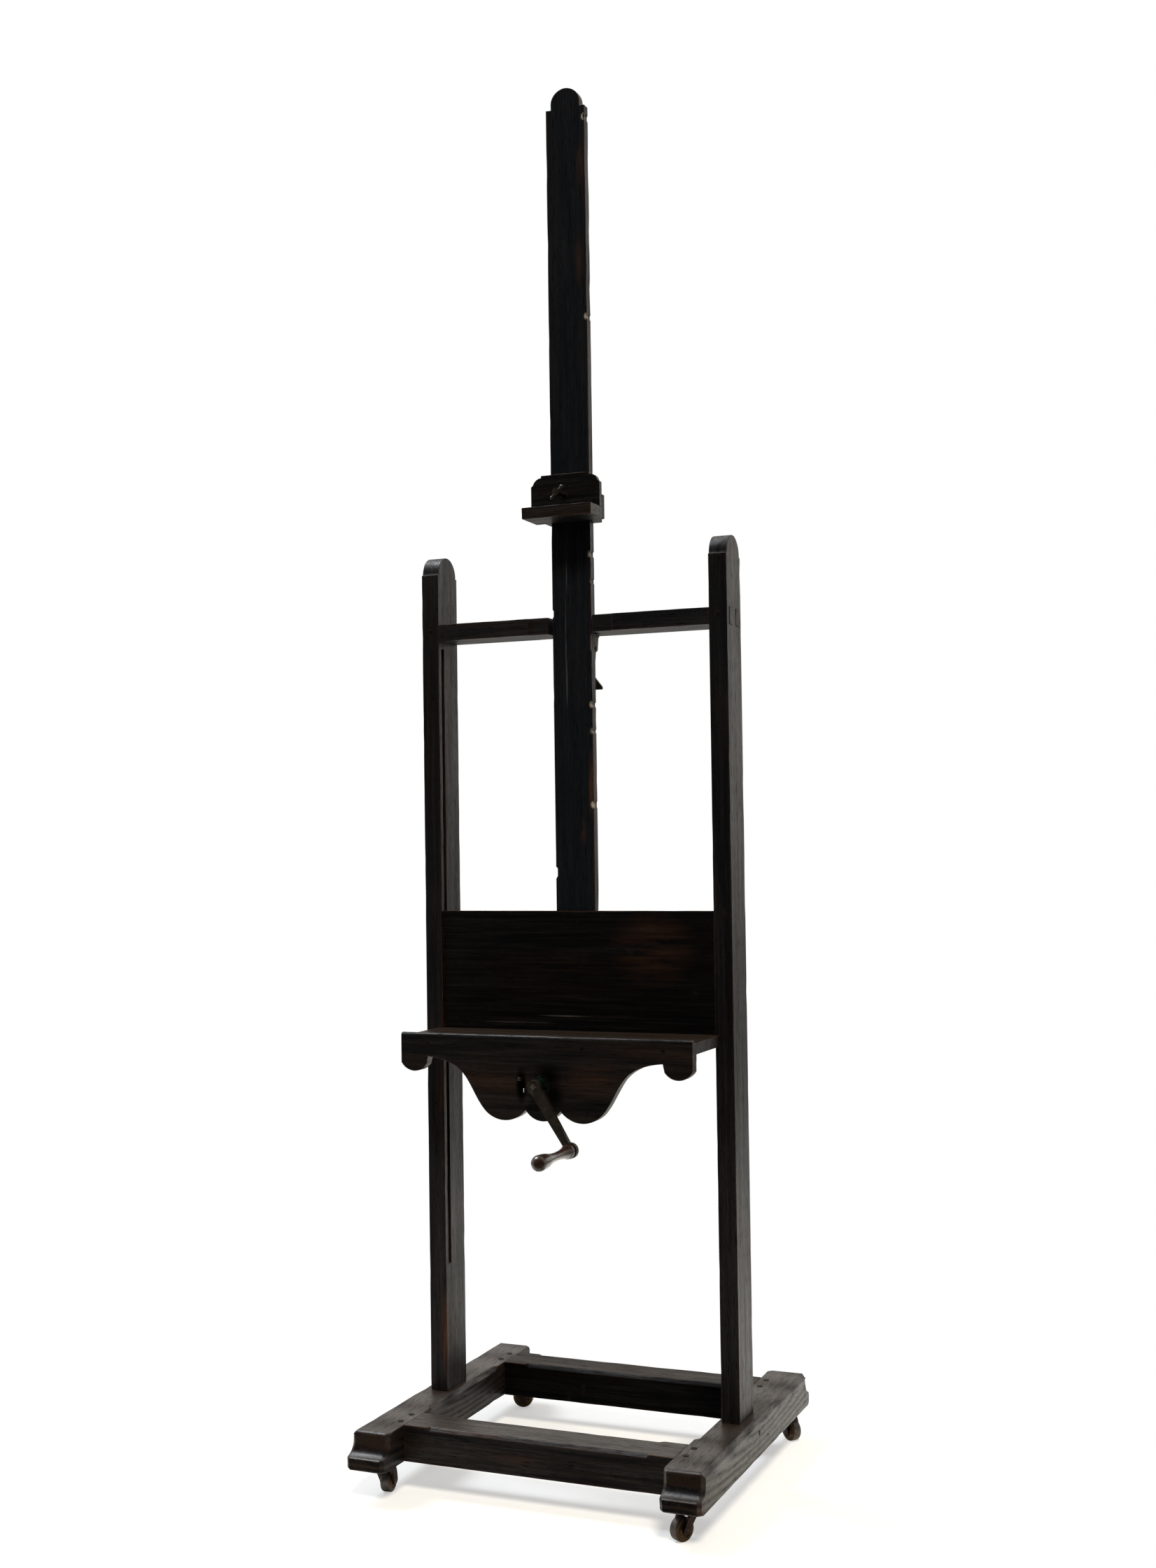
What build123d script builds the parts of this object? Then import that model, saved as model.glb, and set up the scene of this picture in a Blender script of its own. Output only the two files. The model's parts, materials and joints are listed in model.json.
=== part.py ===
"""Studio H-frame easel with a cranked carriage, a notched mast and a castered base.

Millimetres.  Z is up and Z = 0 is the floor.  The painter stands on the -Y side.
X = 0 is the middle of the easel.  Y = 0 is halfway between the tip of the crank
handle and the rear toes of the feet.
"""
from build123d import *
import os
from math import atan2, cos, degrees, hypot, pi, radians, sin

# ---------------------------------------------------------------- base
FOOT_X = 288.5            # centre line of each foot
FOOT_WIDTH = 73.0
FOOT_MID_Y = 34.0
FOOT_BOTTOM = 58.0
FOOT_HEIGHT = 64.0
FOOT_TOP = FOOT_BOTTOM + FOOT_HEIGHT
FOOT_REACH = 326.0        # from the middle of the foot to the tip of a toe
TOE_CORNER_CUT = 7.0
FOOT_CHAMFER = 8.0

CROSS_RAIL_Y = (-175.0, 244.5)
CROSS_RAIL_WIDTH = 75.0
CROSS_RAIL_TENON = (40.0, 45.0, 40.0)    # length, width, height
CROSS_RAIL_CHAMFER = 6.5
CROSS_RAIL_CHAMFER_HALF = 201.0
BASE_PEG_RADIUS = 5.4
BASE_PEG_X = 267.0
BASE_PEG_OFFSET = 20.0
BASE_PEG_LENGTH = 50.0

# ---------------------------------------------------------------- posts and top rail
POST_SPREAD = 604.0       # over the outer faces
POST_WIDTH = 34.0
POST_DEPTH = 80.0
POST_FRONT = -9.0
POST_BACK = POST_FRONT + POST_DEPTH
POST_X = POST_SPREAD / 2 - POST_WIDTH / 2
POST_INNER_X = POST_SPREAD / 2 - POST_WIDTH
POST_SHOULDER = 1652.0
POST_HEAD_RADIUS = 36.0
POST_TENON = (16.0, 52.0, 46.0)          # X, Y, Z
POST_PEG_RADIUS = 4.5

GROOVE_Y = 8.0
GROOVE_WIDTH = 10.6
GROOVE_DEPTH = 10.0
GROOVE_BOTTOM = 357.0
GROOVE_TOP = 1512.0

RAIL_BOTTOM = 1526.0
RAIL_HEIGHT = 31.0
RAIL_TOP = RAIL_BOTTOM + RAIL_HEIGHT
RAIL_TENONS_Y = (12.0, 49.0)
RAIL_TENON_THICKNESS = 15.0
RAIL_TENON_PROUD = 1.0
RAIL_PEG_RADIUS = 4.0
NOTCH_HALF_WIDTH = 43.5
NOTCH_BACK = 33.0
RAIL_RECESS_HALF = 83.0
RAIL_RECESS_DEPTH = 2.0

# ---------------------------------------------------------------- mast
MAST_WIDTH = 77.0
MAST_FRONT = 3.0
MAST_BACK = 21.0
MAST_BOTTOM = 770.0
MAST_SHOULDER = 2500.0
MAST_HEAD_RADIUS = 29.0
MAST_HEAD_RISE = 8.0      # short upright part between the shoulders and the round head

RACK_X = 17.0
RACK_WIDTH = 26.0
RACK_BASE = 4.0
RACK_TOOTH = 4.0
RACK_PITCH = 20.0
RACK_TEETH = 31
RACK_FIRST_TOOTH = 970.0
RACK_LAND = 20.0          # plain iron beyond the teeth, for the screws

# ---------------------------------------------------------------- panel, shelf, apron
PANEL_FRONT = -5.0
PANEL_BACK = 13.0
PANEL_BOTTOM = 750.0
PANEL_TOP = 1018.0
PANEL_HALF = POST_INNER_X - 0.6
PANEL_TONGUE = 9.6
PANEL_TONGUE_FRONT = 3.0
PANEL_DROP_HALF = 50.0    # tongue of board that carries the rear shaft bearing
PANEL_DROP_BOTTOM = 668.0
PANEL_CORNER_X = 225.0     # beyond this the lower edge is level with the shelf underside

SHELF_TOP = 800.0
SHELF_THICKNESS = 20.0
SHELF_HALF = 277.0
SHELF_POST_GAP = 4.0
SHELF_NECK_HALF = POST_INNER_X - 2.0

APRON_FRONT = -159.0
APRON_BACK = -139.0
BEAD_RADIUS = 6.0

BRACKET_X = 105.0
BRACKET_THICKNESS = 18.0

# ---------------------------------------------------------------- crank
CRANK_Z = 722.0
SHAFT_RADIUS = 6.0
BEARING_CLEARANCE = 0.05
SHAFT_BACK = 59.0
ARM_FRONT = -199.0
ARM_THICKNESS = 10.0
ARM_BACK = ARM_FRONT + ARM_THICKNESS
SQUARE_SIDE = 8.4
ARM_EYE = (66.0, 616.0)
HUB_RADIUS = 12.0
EYE_RADIUS = 13.5
SPINDLE_RADIUS = 4.0
GRIP_TIP = -340.0
SPINDLE_TIP = -326.0

FLANGE_RADIUS = 16.0
FLANGE_THICKNESS = 3.0
BOSS_RADIUS = 11.5
BUSH_RADIUS = 9.0

WHEEL_FRONT = -136.0
WHEEL_BACK = -126.0
WHEEL_TEETH = 18
WHEEL_TIP_RADIUS = 27.0
WHEEL_ROOT_RADIUS = 23.0

DRUM_FRONT = 29.0
DRUM_BACK = 57.0
DRUM_RADIUS = 16.0
DRUM_FLANGE_RADIUS = 25.0
DRUM_FLANGE = 3.0
CORD_RADIUS = 2.0
CORD_X = -(DRUM_RADIUS + CORD_RADIUS)
CORD_Y = (DRUM_FRONT + DRUM_BACK) / 2
CORD_TOP = 1508.0

PAWL_PIVOT_X = -80.0
PAWL_PIVOT_Z = 720.0
PAWL_FRONT = -135.0
PAWL_BACK = -127.0
PAWL_PIN_X = -40.5
PAWL_PIN_Z = 731.0
PAWL_PIN_RADIUS = 2.5
SLOT_WIDTH = 9.0
SLOT_BOTTOM = 704.5
SLOT_TOP = 735.0

# ---------------------------------------------------------------- mast pawl
HINGE_Y = 49.0
HINGE_Z = 1502.0
HINGE_RADIUS = 3.0
MAST_PAWL_X = 17.0
MAST_PAWL_WIDTH = 18.0
EAR_THICKNESS = 3.0

# ---------------------------------------------------------------- canvas holder
HOLDER_HALF = 68.0
HOLDER_BOTTOM = 1731.0
LIP_TOP = 1752.0
LIP_FRONT = -65.0
PLATE_FRONT = -21.0
PLATE_BACK = -9.0
PLATE_TOP = 1816.5
PLATE_TOP_HALF = 48.0
PLATE_SHOULDER = 1797.0
SADDLE_TOP = 1775.0
SLIDE_CLEARANCE = 0.3
CHEEK_THICKNESS = 12.0
HOLDER_BACK_THICKNESS = 12.0
SCREW_Z = 1776.0
SCREW_RADIUS = 4.0
SCREW_HEAD_FRONT = -66.0
BAR_RADIUS = 2.5
BAR_LENGTH = 27.0

# ---------------------------------------------------------------- casters
CASTER_X = 285.0
CASTER_Y = (-226.0, 322.0)
# direction in which each wheel trails, degrees anticlockwise from +X
CASTER_TRAIL = {"fl": 95.0, "fr": 240.0, "rl": 13.0, "rr": -35.0}
CASTER_OFFSET = 20.0
CASTER_WHEEL_RADIUS = 20.0
CASTER_WHEEL_WIDTH = 19.0
CASTER_GAP = 20.0
HORN_THICKNESS = 3.5
HORN_FLARE = 6.0          # how much wider each side of the fork is at the crown
AXLE_RADIUS = 3.0
STEM_RADIUS = 5.0
STEM_TOP = 84.0
CASTER_PLATE_RADIUS = 18.0
CASTER_PLATE_THICKNESS = 3.0
CROWN_TOP = FOOT_BOTTOM - CASTER_PLATE_THICKNESS - 0.2
CROWN_BOTTOM = 47.0


# ================================================================ helpers
def block(x0, x1, y0, y1, z0, z1):
    """Box given by its six faces."""
    box = Box(x1 - x0, y1 - y0, z1 - z0)
    return Pos((x0 + x1) / 2, (y0 + y1) / 2, (z0 + z1) / 2) * box


def rod_x(radius, x0, x1, y, z):
    """Round bar along X."""
    bar = Rot(0, 90, 0) * Cylinder(radius, x1 - x0)
    return Pos((x0 + x1) / 2, y, z) * bar


def rod_y(radius, y0, y1, x, z):
    """Round bar along Y."""
    bar = Rot(90, 0, 0) * Cylinder(radius, y1 - y0)
    return Pos(x, (y0 + y1) / 2, z) * bar


def rod_z(radius, z0, z1, x, y):
    """Round bar along Z."""
    return Pos(x, y, (z0 + z1) / 2) * Cylinder(radius, z1 - z0)


def plate_xz(edges, y0, y1):
    """Board whose outline is drawn in X and Z."""
    outline = make_face(edges)
    board = extrude(outline, y1 - y0)
    return Pos(0, y1, 0) * Rot(90, 0, 0) * board


def plate_yz(edges, x0, x1):
    """Board whose outline is drawn in Y and Z."""
    outline = make_face(edges)
    board = extrude(outline, x1 - x0)
    return Pos(x0, 0, 0) * Rot(0, 90, 0) * Rot(0, 0, 90) * board


def both_sides(shape):
    """The shape and its mirror image across X = 0."""
    return [shape, mirror(shape, about=Plane.YZ)]


def wood_screw(radius, head_radius, length):
    """Countersunk screw pointing down, its head flush with Z = 0."""
    head_height = head_radius - radius
    shank = Pos(0, 0, -length / 2) * Cylinder(radius, length)
    head = Pos(0, 0, -head_height / 2) * Cone(radius, head_radius, head_height)
    return shank + head


def save(name, *solids):
    """Write one node, a single solid or a group of separate ones."""
    shape = solids[0] if len(solids) == 1 else Compound(children=list(solids))
    shape.label = name
    export_step(shape, f"parts/{name}.step")


# ================================================================ base
def toe_edges(scale, shift):
    """Side outline of a foot, moulded at both ends.

    The moulding is an ogee over a round nosing.  scale and shift stretch the
    distances from the middle, which gives the mitred return at a cut corner.
    """
    def point(reach, height):
        return (shift + reach * scale, FOOT_BOTTOM + height)

    nose = FOOT_REACH
    flat = nose - 31.5
    neck = nose - 22.5
    edges = []
    for side in (1, -1):
        path = [
            Line((0, FOOT_BOTTOM), point(nose - 9, 0)),
            ThreePointArc(point(nose - 9, 0), point(nose - 2.6, 2.6), point(nose, 9)),
            Line(point(nose, 9), point(nose, 22)),
            Line(point(nose, 22), point(nose - 3, 24)),
            ThreePointArc(point(nose - 3, 24), point(nose - 16, 31), point(neck, 45)),
            Line(point(neck, 45), point(neck, 55)),
            ThreePointArc(point(neck, 55), point(neck - 2.6, 61.4), point(flat, FOOT_HEIGHT)),
            Line(point(flat, FOOT_HEIGHT), (0, FOOT_TOP)),
        ]
        if side == -1:
            path = [edge.mirror(Plane.YZ) for edge in path]
        edges += path
    return edges


def stopped_chamfer(length, width):
    """Cutter for a 45 degree chamfer along X whose ends ramp out.

    The edge it works on is the X axis and the wood lies on the -Y -Z side.
    """
    depth = width / 2**0.5
    ramp = 2.5 * width
    half = length / 2
    profile = Polyline(
        (-half, 0),
        (half, 0),
        (half + ramp, 2 * depth),
        (-half - ramp, 2 * depth),
        close=True,
    )
    cutter = extrude(make_face(profile), 2 * width, both=True)
    upright = Rot(90, 0, 0) * cutter
    return Rot(-45, 0, 0) * Pos(0, 0, -depth) * upright


def foot_blank():
    """Foot centred on X = 0 with moulded toes and mitred corners."""
    half = FOOT_WIDTH / 2
    blank = plate_yz(toe_edges(1, 0), -half, half)
    diagonal = 2**0.5
    shift = (half - TOE_CORNER_CUT) / diagonal
    corner = plate_yz(toe_edges(1 / diagonal, shift), -FOOT_REACH, FOOT_REACH)
    for turn in (45, -45, 135, -135):
        blank = blank & Rot(0, 0, turn) * corner
    return Pos(0, FOOT_MID_Y, 0) * blank


def tenon_block(y):
    """Tenon of a cross rail inside a foot, right-hand side."""
    length, width, height = CROSS_RAIL_TENON
    start = FOOT_X - FOOT_WIDTH / 2
    middle = FOOT_BOTTOM + FOOT_HEIGHT / 2
    return block(start, start + length, y - width / 2, y + width / 2,
                 middle - height / 2, middle + height / 2)


def post_tenon():
    """Tenon of a post inside a foot, right-hand side."""
    width, depth, height = POST_TENON
    middle = (POST_FRONT + POST_BACK) / 2
    return block(POST_X - width / 2, POST_X + width / 2, middle - depth / 2, middle + depth / 2,
                 FOOT_TOP - height, FOOT_TOP)


def base_peg(y):
    """Peg driven down through a foot and a cross-rail tenon, right-hand side."""
    return rod_z(BASE_PEG_RADIUS, FOOT_TOP - BASE_PEG_LENGTH, FOOT_TOP + 0.8, BASE_PEG_X, y)


def base_peg_rows():
    """Y of every base peg."""
    return [y + side * BASE_PEG_OFFSET for y in CROSS_RAIL_Y for side in (-1, 1)]


def post_peg(z):
    """Peg through a foot's outer cheek and the post tenon, right-hand side."""
    middle = (POST_FRONT + POST_BACK) / 2
    return rod_x(POST_PEG_RADIUS, POST_X - 12, FOOT_X + FOOT_WIDTH / 2 + 0.6, middle, z)


def post_pegs():
    """One peg for each post."""
    return both_sides(post_peg(FOOT_TOP - POST_TENON[2] / 2))


def caster_screw_spots(x, y):
    """Places of the three screws of a caster plate."""
    return [(x + 10.5 * cos(radians(a)), y + 10.5 * sin(radians(a))) for a in (90, 210, 330)]


def caster_screws(x, y):
    """Three small screws that hold a caster plate."""
    screw = Rot(180, 0, 0) * wood_screw(1.4, 2.6, 14)
    return [Pos(sx, sy, FOOT_BOTTOM - CASTER_PLATE_THICKNESS) * screw
            for sx, sy in caster_screw_spots(x, y)]


def right_foot():
    """Foot under the right-hand post, with its mortises and holes."""
    foot = Pos(FOOT_X, 0, 0) * foot_blank()
    outer = stopped_chamfer(2 * FOOT_REACH, FOOT_CHAMFER)
    inner = stopped_chamfer(CROSS_RAIL_Y[1] - CROSS_RAIL_Y[0] - 150, FOOT_CHAMFER)
    outer_edge = FOOT_X + FOOT_WIDTH / 2
    inner_edge = FOOT_X - FOOT_WIDTH / 2
    middle = (CROSS_RAIL_Y[0] + CROSS_RAIL_Y[1]) / 2
    foot -= Pos(outer_edge, FOOT_MID_Y, FOOT_TOP) * Rot(0, 0, -90) * outer
    foot -= Pos(inner_edge, middle, FOOT_TOP) * Rot(0, 0, 90) * inner
    foot -= post_tenon()
    for y in CROSS_RAIL_Y:
        foot -= tenon_block(y)
    for y in base_peg_rows():
        foot -= base_peg(y)
    foot -= post_pegs()[0]
    for y in CASTER_Y:
        foot -= rod_z(STEM_RADIUS + BEARING_CLEARANCE, FOOT_BOTTOM, STEM_TOP + 2, CASTER_X, y)
        for screw in caster_screws(CASTER_X, y):
            foot -= screw
    return foot


def cross_rail(y):
    """Rail between the feet, tenoned at both ends, its top edges chamfered."""
    start = FOOT_X - FOOT_WIDTH / 2
    half = CROSS_RAIL_WIDTH / 2
    rail = block(-start, start, y - half, y + half, FOOT_BOTTOM, FOOT_TOP)
    cutter = stopped_chamfer(2 * CROSS_RAIL_CHAMFER_HALF, CROSS_RAIL_CHAMFER)
    rail -= Pos(0, y + half, FOOT_TOP) * cutter
    rail -= Pos(0, y - half, FOOT_TOP) * Rot(0, 0, 180) * cutter
    for tenon in both_sides(tenon_block(y)):
        rail += tenon
    for side in (-1, 1):
        for peg in both_sides(base_peg(y + side * BASE_PEG_OFFSET)):
            rail -= peg
    return rail


# ================================================================ posts and top rail
def rail_tenon(y):
    """Through tenon of the top rail, right-hand side."""
    half = RAIL_TENON_THICKNESS / 2
    return block(POST_INNER_X, POST_SPREAD / 2 + RAIL_TENON_PROUD, y - half, y + half,
                 RAIL_BOTTOM, RAIL_TOP)


def rail_peg():
    """Peg from the front of a post through both tenons, right-hand side."""
    return rod_y(RAIL_PEG_RADIUS, POST_FRONT - 0.6, RAIL_TENONS_Y[1] + 12, POST_X, RAIL_BOTTOM + 18)


def right_post():
    """Grooved post with a round head between small shoulders."""
    middle = (POST_FRONT + POST_BACK) / 2
    crown = POST_SHOULDER + POST_HEAD_RADIUS
    outline = [
        Polyline(
            (middle - POST_HEAD_RADIUS, POST_SHOULDER),
            (POST_FRONT, POST_SHOULDER),
            (POST_FRONT, FOOT_TOP),
            (POST_BACK, FOOT_TOP),
            (POST_BACK, POST_SHOULDER),
            (middle + POST_HEAD_RADIUS, POST_SHOULDER),
        ),
        ThreePointArc(
            (middle + POST_HEAD_RADIUS, POST_SHOULDER),
            (middle, crown),
            (middle - POST_HEAD_RADIUS, POST_SHOULDER),
        ),
    ]
    post = plate_yz(outline, POST_INNER_X, POST_SPREAD / 2)
    post += post_tenon()
    post -= block(POST_INNER_X, POST_INNER_X + GROOVE_DEPTH,
                  GROOVE_Y - GROOVE_WIDTH / 2, GROOVE_Y + GROOVE_WIDTH / 2,
                  GROOVE_BOTTOM, GROOVE_TOP)
    for y in RAIL_TENONS_Y:
        post -= rail_tenon(y)
    post -= rail_peg()
    post -= post_pegs()[0]
    return post


def pawl_bracket_screw_spots():
    """X and Y of the two screws of the mast pawl bracket."""
    return [(MAST_PAWL_X, HINGE_Y - 8), (MAST_PAWL_X, HINGE_Y + 8)]


def pawl_bracket_screws():
    """Screws driven up into the rail."""
    screw = Rot(180, 0, 0) * wood_screw(1.8, 3.4, 18)
    return [Pos(x, y, RAIL_BOTTOM - 3) * screw for x, y in pawl_bracket_screw_spots()]


def hook_stem():
    """Threaded part of the cord hook, up in the rail."""
    return rod_z(2.5, CORD_TOP + 10, RAIL_BOTTOM + 18, CORD_X, CORD_Y)


def cord_hook():
    """Screw eye under the rail that takes the top of the cord."""
    ring = Rot(90, 0, 0) * Torus(7, 2)
    eye = Pos(CORD_X, CORD_Y, CORD_TOP + 5) * ring
    return eye + hook_stem() + rod_z(6, RAIL_BOTTOM - 2, RAIL_BOTTOM, CORD_X, CORD_Y)


def top_rail():
    """Rail that joins the posts, notched in front for the mast."""
    rail = block(-POST_INNER_X, POST_INNER_X, POST_FRONT, POST_BACK, RAIL_BOTTOM, RAIL_TOP)
    for y in RAIL_TENONS_Y:
        for tenon in both_sides(rail_tenon(y)):
            rail += tenon
    rail -= block(-RAIL_RECESS_HALF, RAIL_RECESS_HALF, POST_FRONT, POST_FRONT + RAIL_RECESS_DEPTH,
                  RAIL_BOTTOM, RAIL_TOP)
    rail -= block(-NOTCH_HALF_WIDTH, NOTCH_HALF_WIDTH, POST_FRONT, NOTCH_BACK,
                  RAIL_BOTTOM, RAIL_TOP)
    for peg in both_sides(rail_peg()):
        rail -= peg
    for screw in pawl_bracket_screws():
        rail -= screw
    rail -= hook_stem()
    return rail


def pawl_bracket():
    """Iron clevis under the rail that hangs the mast pawl."""
    half = MAST_PAWL_WIDTH / 2 + 0.5
    outer = half + EAR_THICKNESS
    bracket = block(MAST_PAWL_X - outer, MAST_PAWL_X + outer, HINGE_Y - 15, HINGE_Y + 15,
                    RAIL_BOTTOM - 3, RAIL_BOTTOM)
    ear = plate_yz(
        [
            Polyline((HINGE_Y - 7, HINGE_Z), (HINGE_Y - 11, RAIL_BOTTOM - 3),
                     (HINGE_Y + 11, RAIL_BOTTOM - 3), (HINGE_Y + 7, HINGE_Z)),
            ThreePointArc((HINGE_Y + 7, HINGE_Z), (HINGE_Y, HINGE_Z - 7), (HINGE_Y - 7, HINGE_Z)),
        ],
        0, EAR_THICKNESS)
    bracket += Pos(MAST_PAWL_X + half, 0, 0) * ear
    bracket += Pos(MAST_PAWL_X - outer, 0, 0) * ear
    bracket -= hinge_pin()
    for screw in pawl_bracket_screws():
        bracket -= screw
    return bracket


def hinge_pin():
    """Pin of the mast pawl."""
    reach = MAST_PAWL_WIDTH / 2 + 0.5 + EAR_THICKNESS + 1
    return rod_x(HINGE_RADIUS, MAST_PAWL_X - reach, MAST_PAWL_X + reach, HINGE_Y, HINGE_Z)


def mast_pawl():
    """Hanging pawl with a nose for the rack and a tab for the thumb."""
    tip = MAST_BACK + RACK_BASE + RACK_TOOTH + 0.4
    outline = [
        Polyline((HINGE_Y - 8, HINGE_Z), (HINGE_Y - 9, 1468), (tip, 1467), (tip, 1462),
                 (36, 1448), (36, 1424), (44, 1424), (48, 1460), (HINGE_Y + 8, HINGE_Z)),
        ThreePointArc((HINGE_Y + 8, HINGE_Z), (HINGE_Y, HINGE_Z + 8), (HINGE_Y - 8, HINGE_Z)),
    ]
    half = MAST_PAWL_WIDTH / 2
    pawl = plate_yz(outline, MAST_PAWL_X - half, MAST_PAWL_X + half)
    tab = plate_xz(
        Polyline((MAST_PAWL_X, 1452), (MAST_PAWL_X + half, 1452), (MAST_PAWL_X + 27, 1429),
                 (MAST_PAWL_X + 27, 1424), (MAST_PAWL_X, 1424), close=True),
        36, 42)
    bore = rod_x(HINGE_RADIUS + BEARING_CLEARANCE, MAST_PAWL_X - half, MAST_PAWL_X + half,
                 HINGE_Y, HINGE_Z)
    return pawl + tab - bore


# ================================================================ mast
def mast():
    """Sliding board with a round head between square shoulders."""
    half = MAST_WIDTH / 2
    spring_line = MAST_SHOULDER + MAST_HEAD_RISE
    outline = [
        Polyline((-MAST_HEAD_RADIUS, spring_line), (-MAST_HEAD_RADIUS, MAST_SHOULDER),
                 (-half, MAST_SHOULDER), (-half, MAST_BOTTOM), (half, MAST_BOTTOM),
                 (half, MAST_SHOULDER), (MAST_HEAD_RADIUS, MAST_SHOULDER),
                 (MAST_HEAD_RADIUS, spring_line)),
        ThreePointArc((MAST_HEAD_RADIUS, spring_line), (0, spring_line + MAST_HEAD_RADIUS),
                      (-MAST_HEAD_RADIUS, spring_line)),
    ]
    board = plate_xz(outline, MAST_FRONT, MAST_BACK)
    for screw in mast_screws() + rack_screws():
        board -= screw
    return board


def rack_strip():
    """Iron strip of ratchet teeth with flat ledges facing down."""
    root = MAST_BACK + RACK_BASE
    tip = root + RACK_TOOTH
    last = RACK_FIRST_TOOTH + RACK_TEETH * RACK_PITCH
    points = [(MAST_BACK, RACK_FIRST_TOOTH - RACK_LAND), (root, RACK_FIRST_TOOTH - RACK_LAND)]
    for number in range(RACK_TEETH):
        ledge = RACK_FIRST_TOOTH + number * RACK_PITCH
        points += [(root, ledge), (tip, ledge)]
    points += [(root, last), (root, last + RACK_LAND), (MAST_BACK, last + RACK_LAND)]
    half = RACK_WIDTH / 2
    strip = plate_yz(Polyline(*points, close=True), RACK_X - half, RACK_X + half)
    for screw in rack_screws():
        strip -= screw
    return strip


def rack_screws():
    """One screw in each plain end of the rack."""
    last = RACK_FIRST_TOOTH + RACK_TEETH * RACK_PITCH
    screw = Rot(-90, 0, 0) * wood_screw(2, 4, 16)
    back = MAST_BACK + RACK_BASE
    return [Pos(RACK_X, back, z) * screw
            for z in (RACK_FIRST_TOOTH - RACK_LAND / 2, last + RACK_LAND / 2)]


def mast_screws():
    """Three hand-placed screws from the face of the panel into the mast."""
    screw = Rot(90, 0, 0) * wood_screw(2, 4, 22)
    return [Pos(x, PANEL_FRONT, z) * screw for x, z in ((5, 1000), (11, 922), (24, 842))]


# ================================================================ panel, shelf, apron
def panel():
    """Board behind the canvas, tongued into the posts and housed for the mast."""
    board = block(-PANEL_HALF, PANEL_HALF, PANEL_FRONT, PANEL_BACK, PANEL_BOTTOM, PANEL_TOP)
    board += block(-PANEL_DROP_HALF, PANEL_DROP_HALF, PANEL_FRONT, PANEL_BACK,
                   PANEL_DROP_BOTTOM, PANEL_BOTTOM)
    reach = PANEL_HALF + PANEL_TONGUE
    board += block(-reach, reach, PANEL_TONGUE_FRONT, PANEL_BACK, PANEL_BOTTOM, PANEL_TOP)
    corner = block(PANEL_CORNER_X, reach, PANEL_FRONT, PANEL_BACK,
                   PANEL_BOTTOM, SHELF_TOP - SHELF_THICKNESS)
    for cut in both_sides(corner):
        board -= cut
    half = MAST_WIDTH / 2
    board -= block(-half, half, MAST_FRONT, PANEL_BACK, MAST_BOTTOM, PANEL_TOP)
    board -= rod_y(SHAFT_RADIUS + 1, PANEL_FRONT, PANEL_BACK, 0, CRANK_Z)
    for screw in mast_screws() + rear_bearing_screws():
        board -= screw
    return board


def shelf():
    """Canvas shelf; its narrow neck passes between the posts to the panel."""
    bottom = SHELF_TOP - SHELF_THICKNESS
    board = block(-SHELF_HALF, SHELF_HALF, APRON_BACK, POST_FRONT - SHELF_POST_GAP,
                  bottom, SHELF_TOP)
    board += block(-SHELF_NECK_HALF, SHELF_NECK_HALF, APRON_BACK, PANEL_FRONT, bottom, SHELF_TOP)
    for screw in shelf_screws() + apron_screws():
        board -= screw
    return board


def apron_edges():
    """Outline of the apron: a centre lobe, two side lobes, a long sweep and end lobes."""
    top = SHELF_TOP
    end = SHELF_HALF
    edges = [ThreePointArc((33, 676), (0, 657.5), (-33, 676))]
    for side in (1, -1):
        edges += [
            ThreePointArc((side * 33, 676), (side * 75, 656.5), (side * 112, 673)),
            Spline((side * 112, 673), (side * 134, 706), (side * 160, 742), (side * 190, 758),
                   (side * 223, 764), tangents=((side * 1.0, 1.1), (side * 1.0, 0.1))),
            Line((side * 223, 764), (side * 226, 750)),
            ThreePointArc((side * 226, 750), (side * 250, 737), (side * end, 752)),
            Line((side * end, 752), (side * end, top)),
            Line((side * end, top), (0, top)),
        ]
    return edges


def apron():
    """Shaped board under the front of the shelf, with a bead along its top."""
    board = plate_xz(apron_edges(), APRON_FRONT, APRON_BACK)
    board += rod_x(BEAD_RADIUS, -SHELF_HALF, SHELF_HALF, APRON_FRONT + BEAD_RADIUS, SHELF_TOP)
    board -= rod_y(BUSH_RADIUS, APRON_FRONT, APRON_BACK, 0, CRANK_Z)
    board -= block(PAWL_PIN_X - SLOT_WIDTH / 2, PAWL_PIN_X + SLOT_WIDTH / 2,
                   APRON_FRONT, APRON_BACK, SLOT_BOTTOM, SLOT_TOP)
    for screw in apron_screws() + front_bearing_screws():
        board -= screw
    board -= pawl_stud()
    return board


def apron_screws():
    """Screws through the apron into the edge of the shelf."""
    screw = Rot(90, 0, 0) * wood_screw(1.8, 3.6, 40)
    height = SHELF_TOP - SHELF_THICKNESS / 2 - 4
    return [Pos(x, APRON_FRONT, height) * screw for x in (-224, -75, 75, 224)]


def shelf_screws():
    """Screws down through the shelf into the brackets."""
    screw = wood_screw(1.8, 3.6, 38)
    return [Pos(x, y, SHELF_TOP) * screw for x in (-BRACKET_X, BRACKET_X) for y in (-115, -30)]


def bracket():
    """Scooped web under the shelf, from the apron back to the panel."""
    top = SHELF_TOP - SHELF_THICKNESS
    edges = [
        Line((APRON_BACK, top), (APRON_BACK, 705)),
        Line((APRON_BACK, 705), (APRON_BACK + 16, 705)),
        ThreePointArc((APRON_BACK + 16, 705), (-70, 736), (PANEL_FRONT, 752)),
        Line((PANEL_FRONT, 752), (PANEL_FRONT, top)),
        Line((PANEL_FRONT, top), (APRON_BACK, top)),
    ]
    half = BRACKET_THICKNESS / 2
    web = plate_yz(edges, BRACKET_X - half, BRACKET_X + half)
    for screw in shelf_screws():
        web -= screw
    return web


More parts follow.
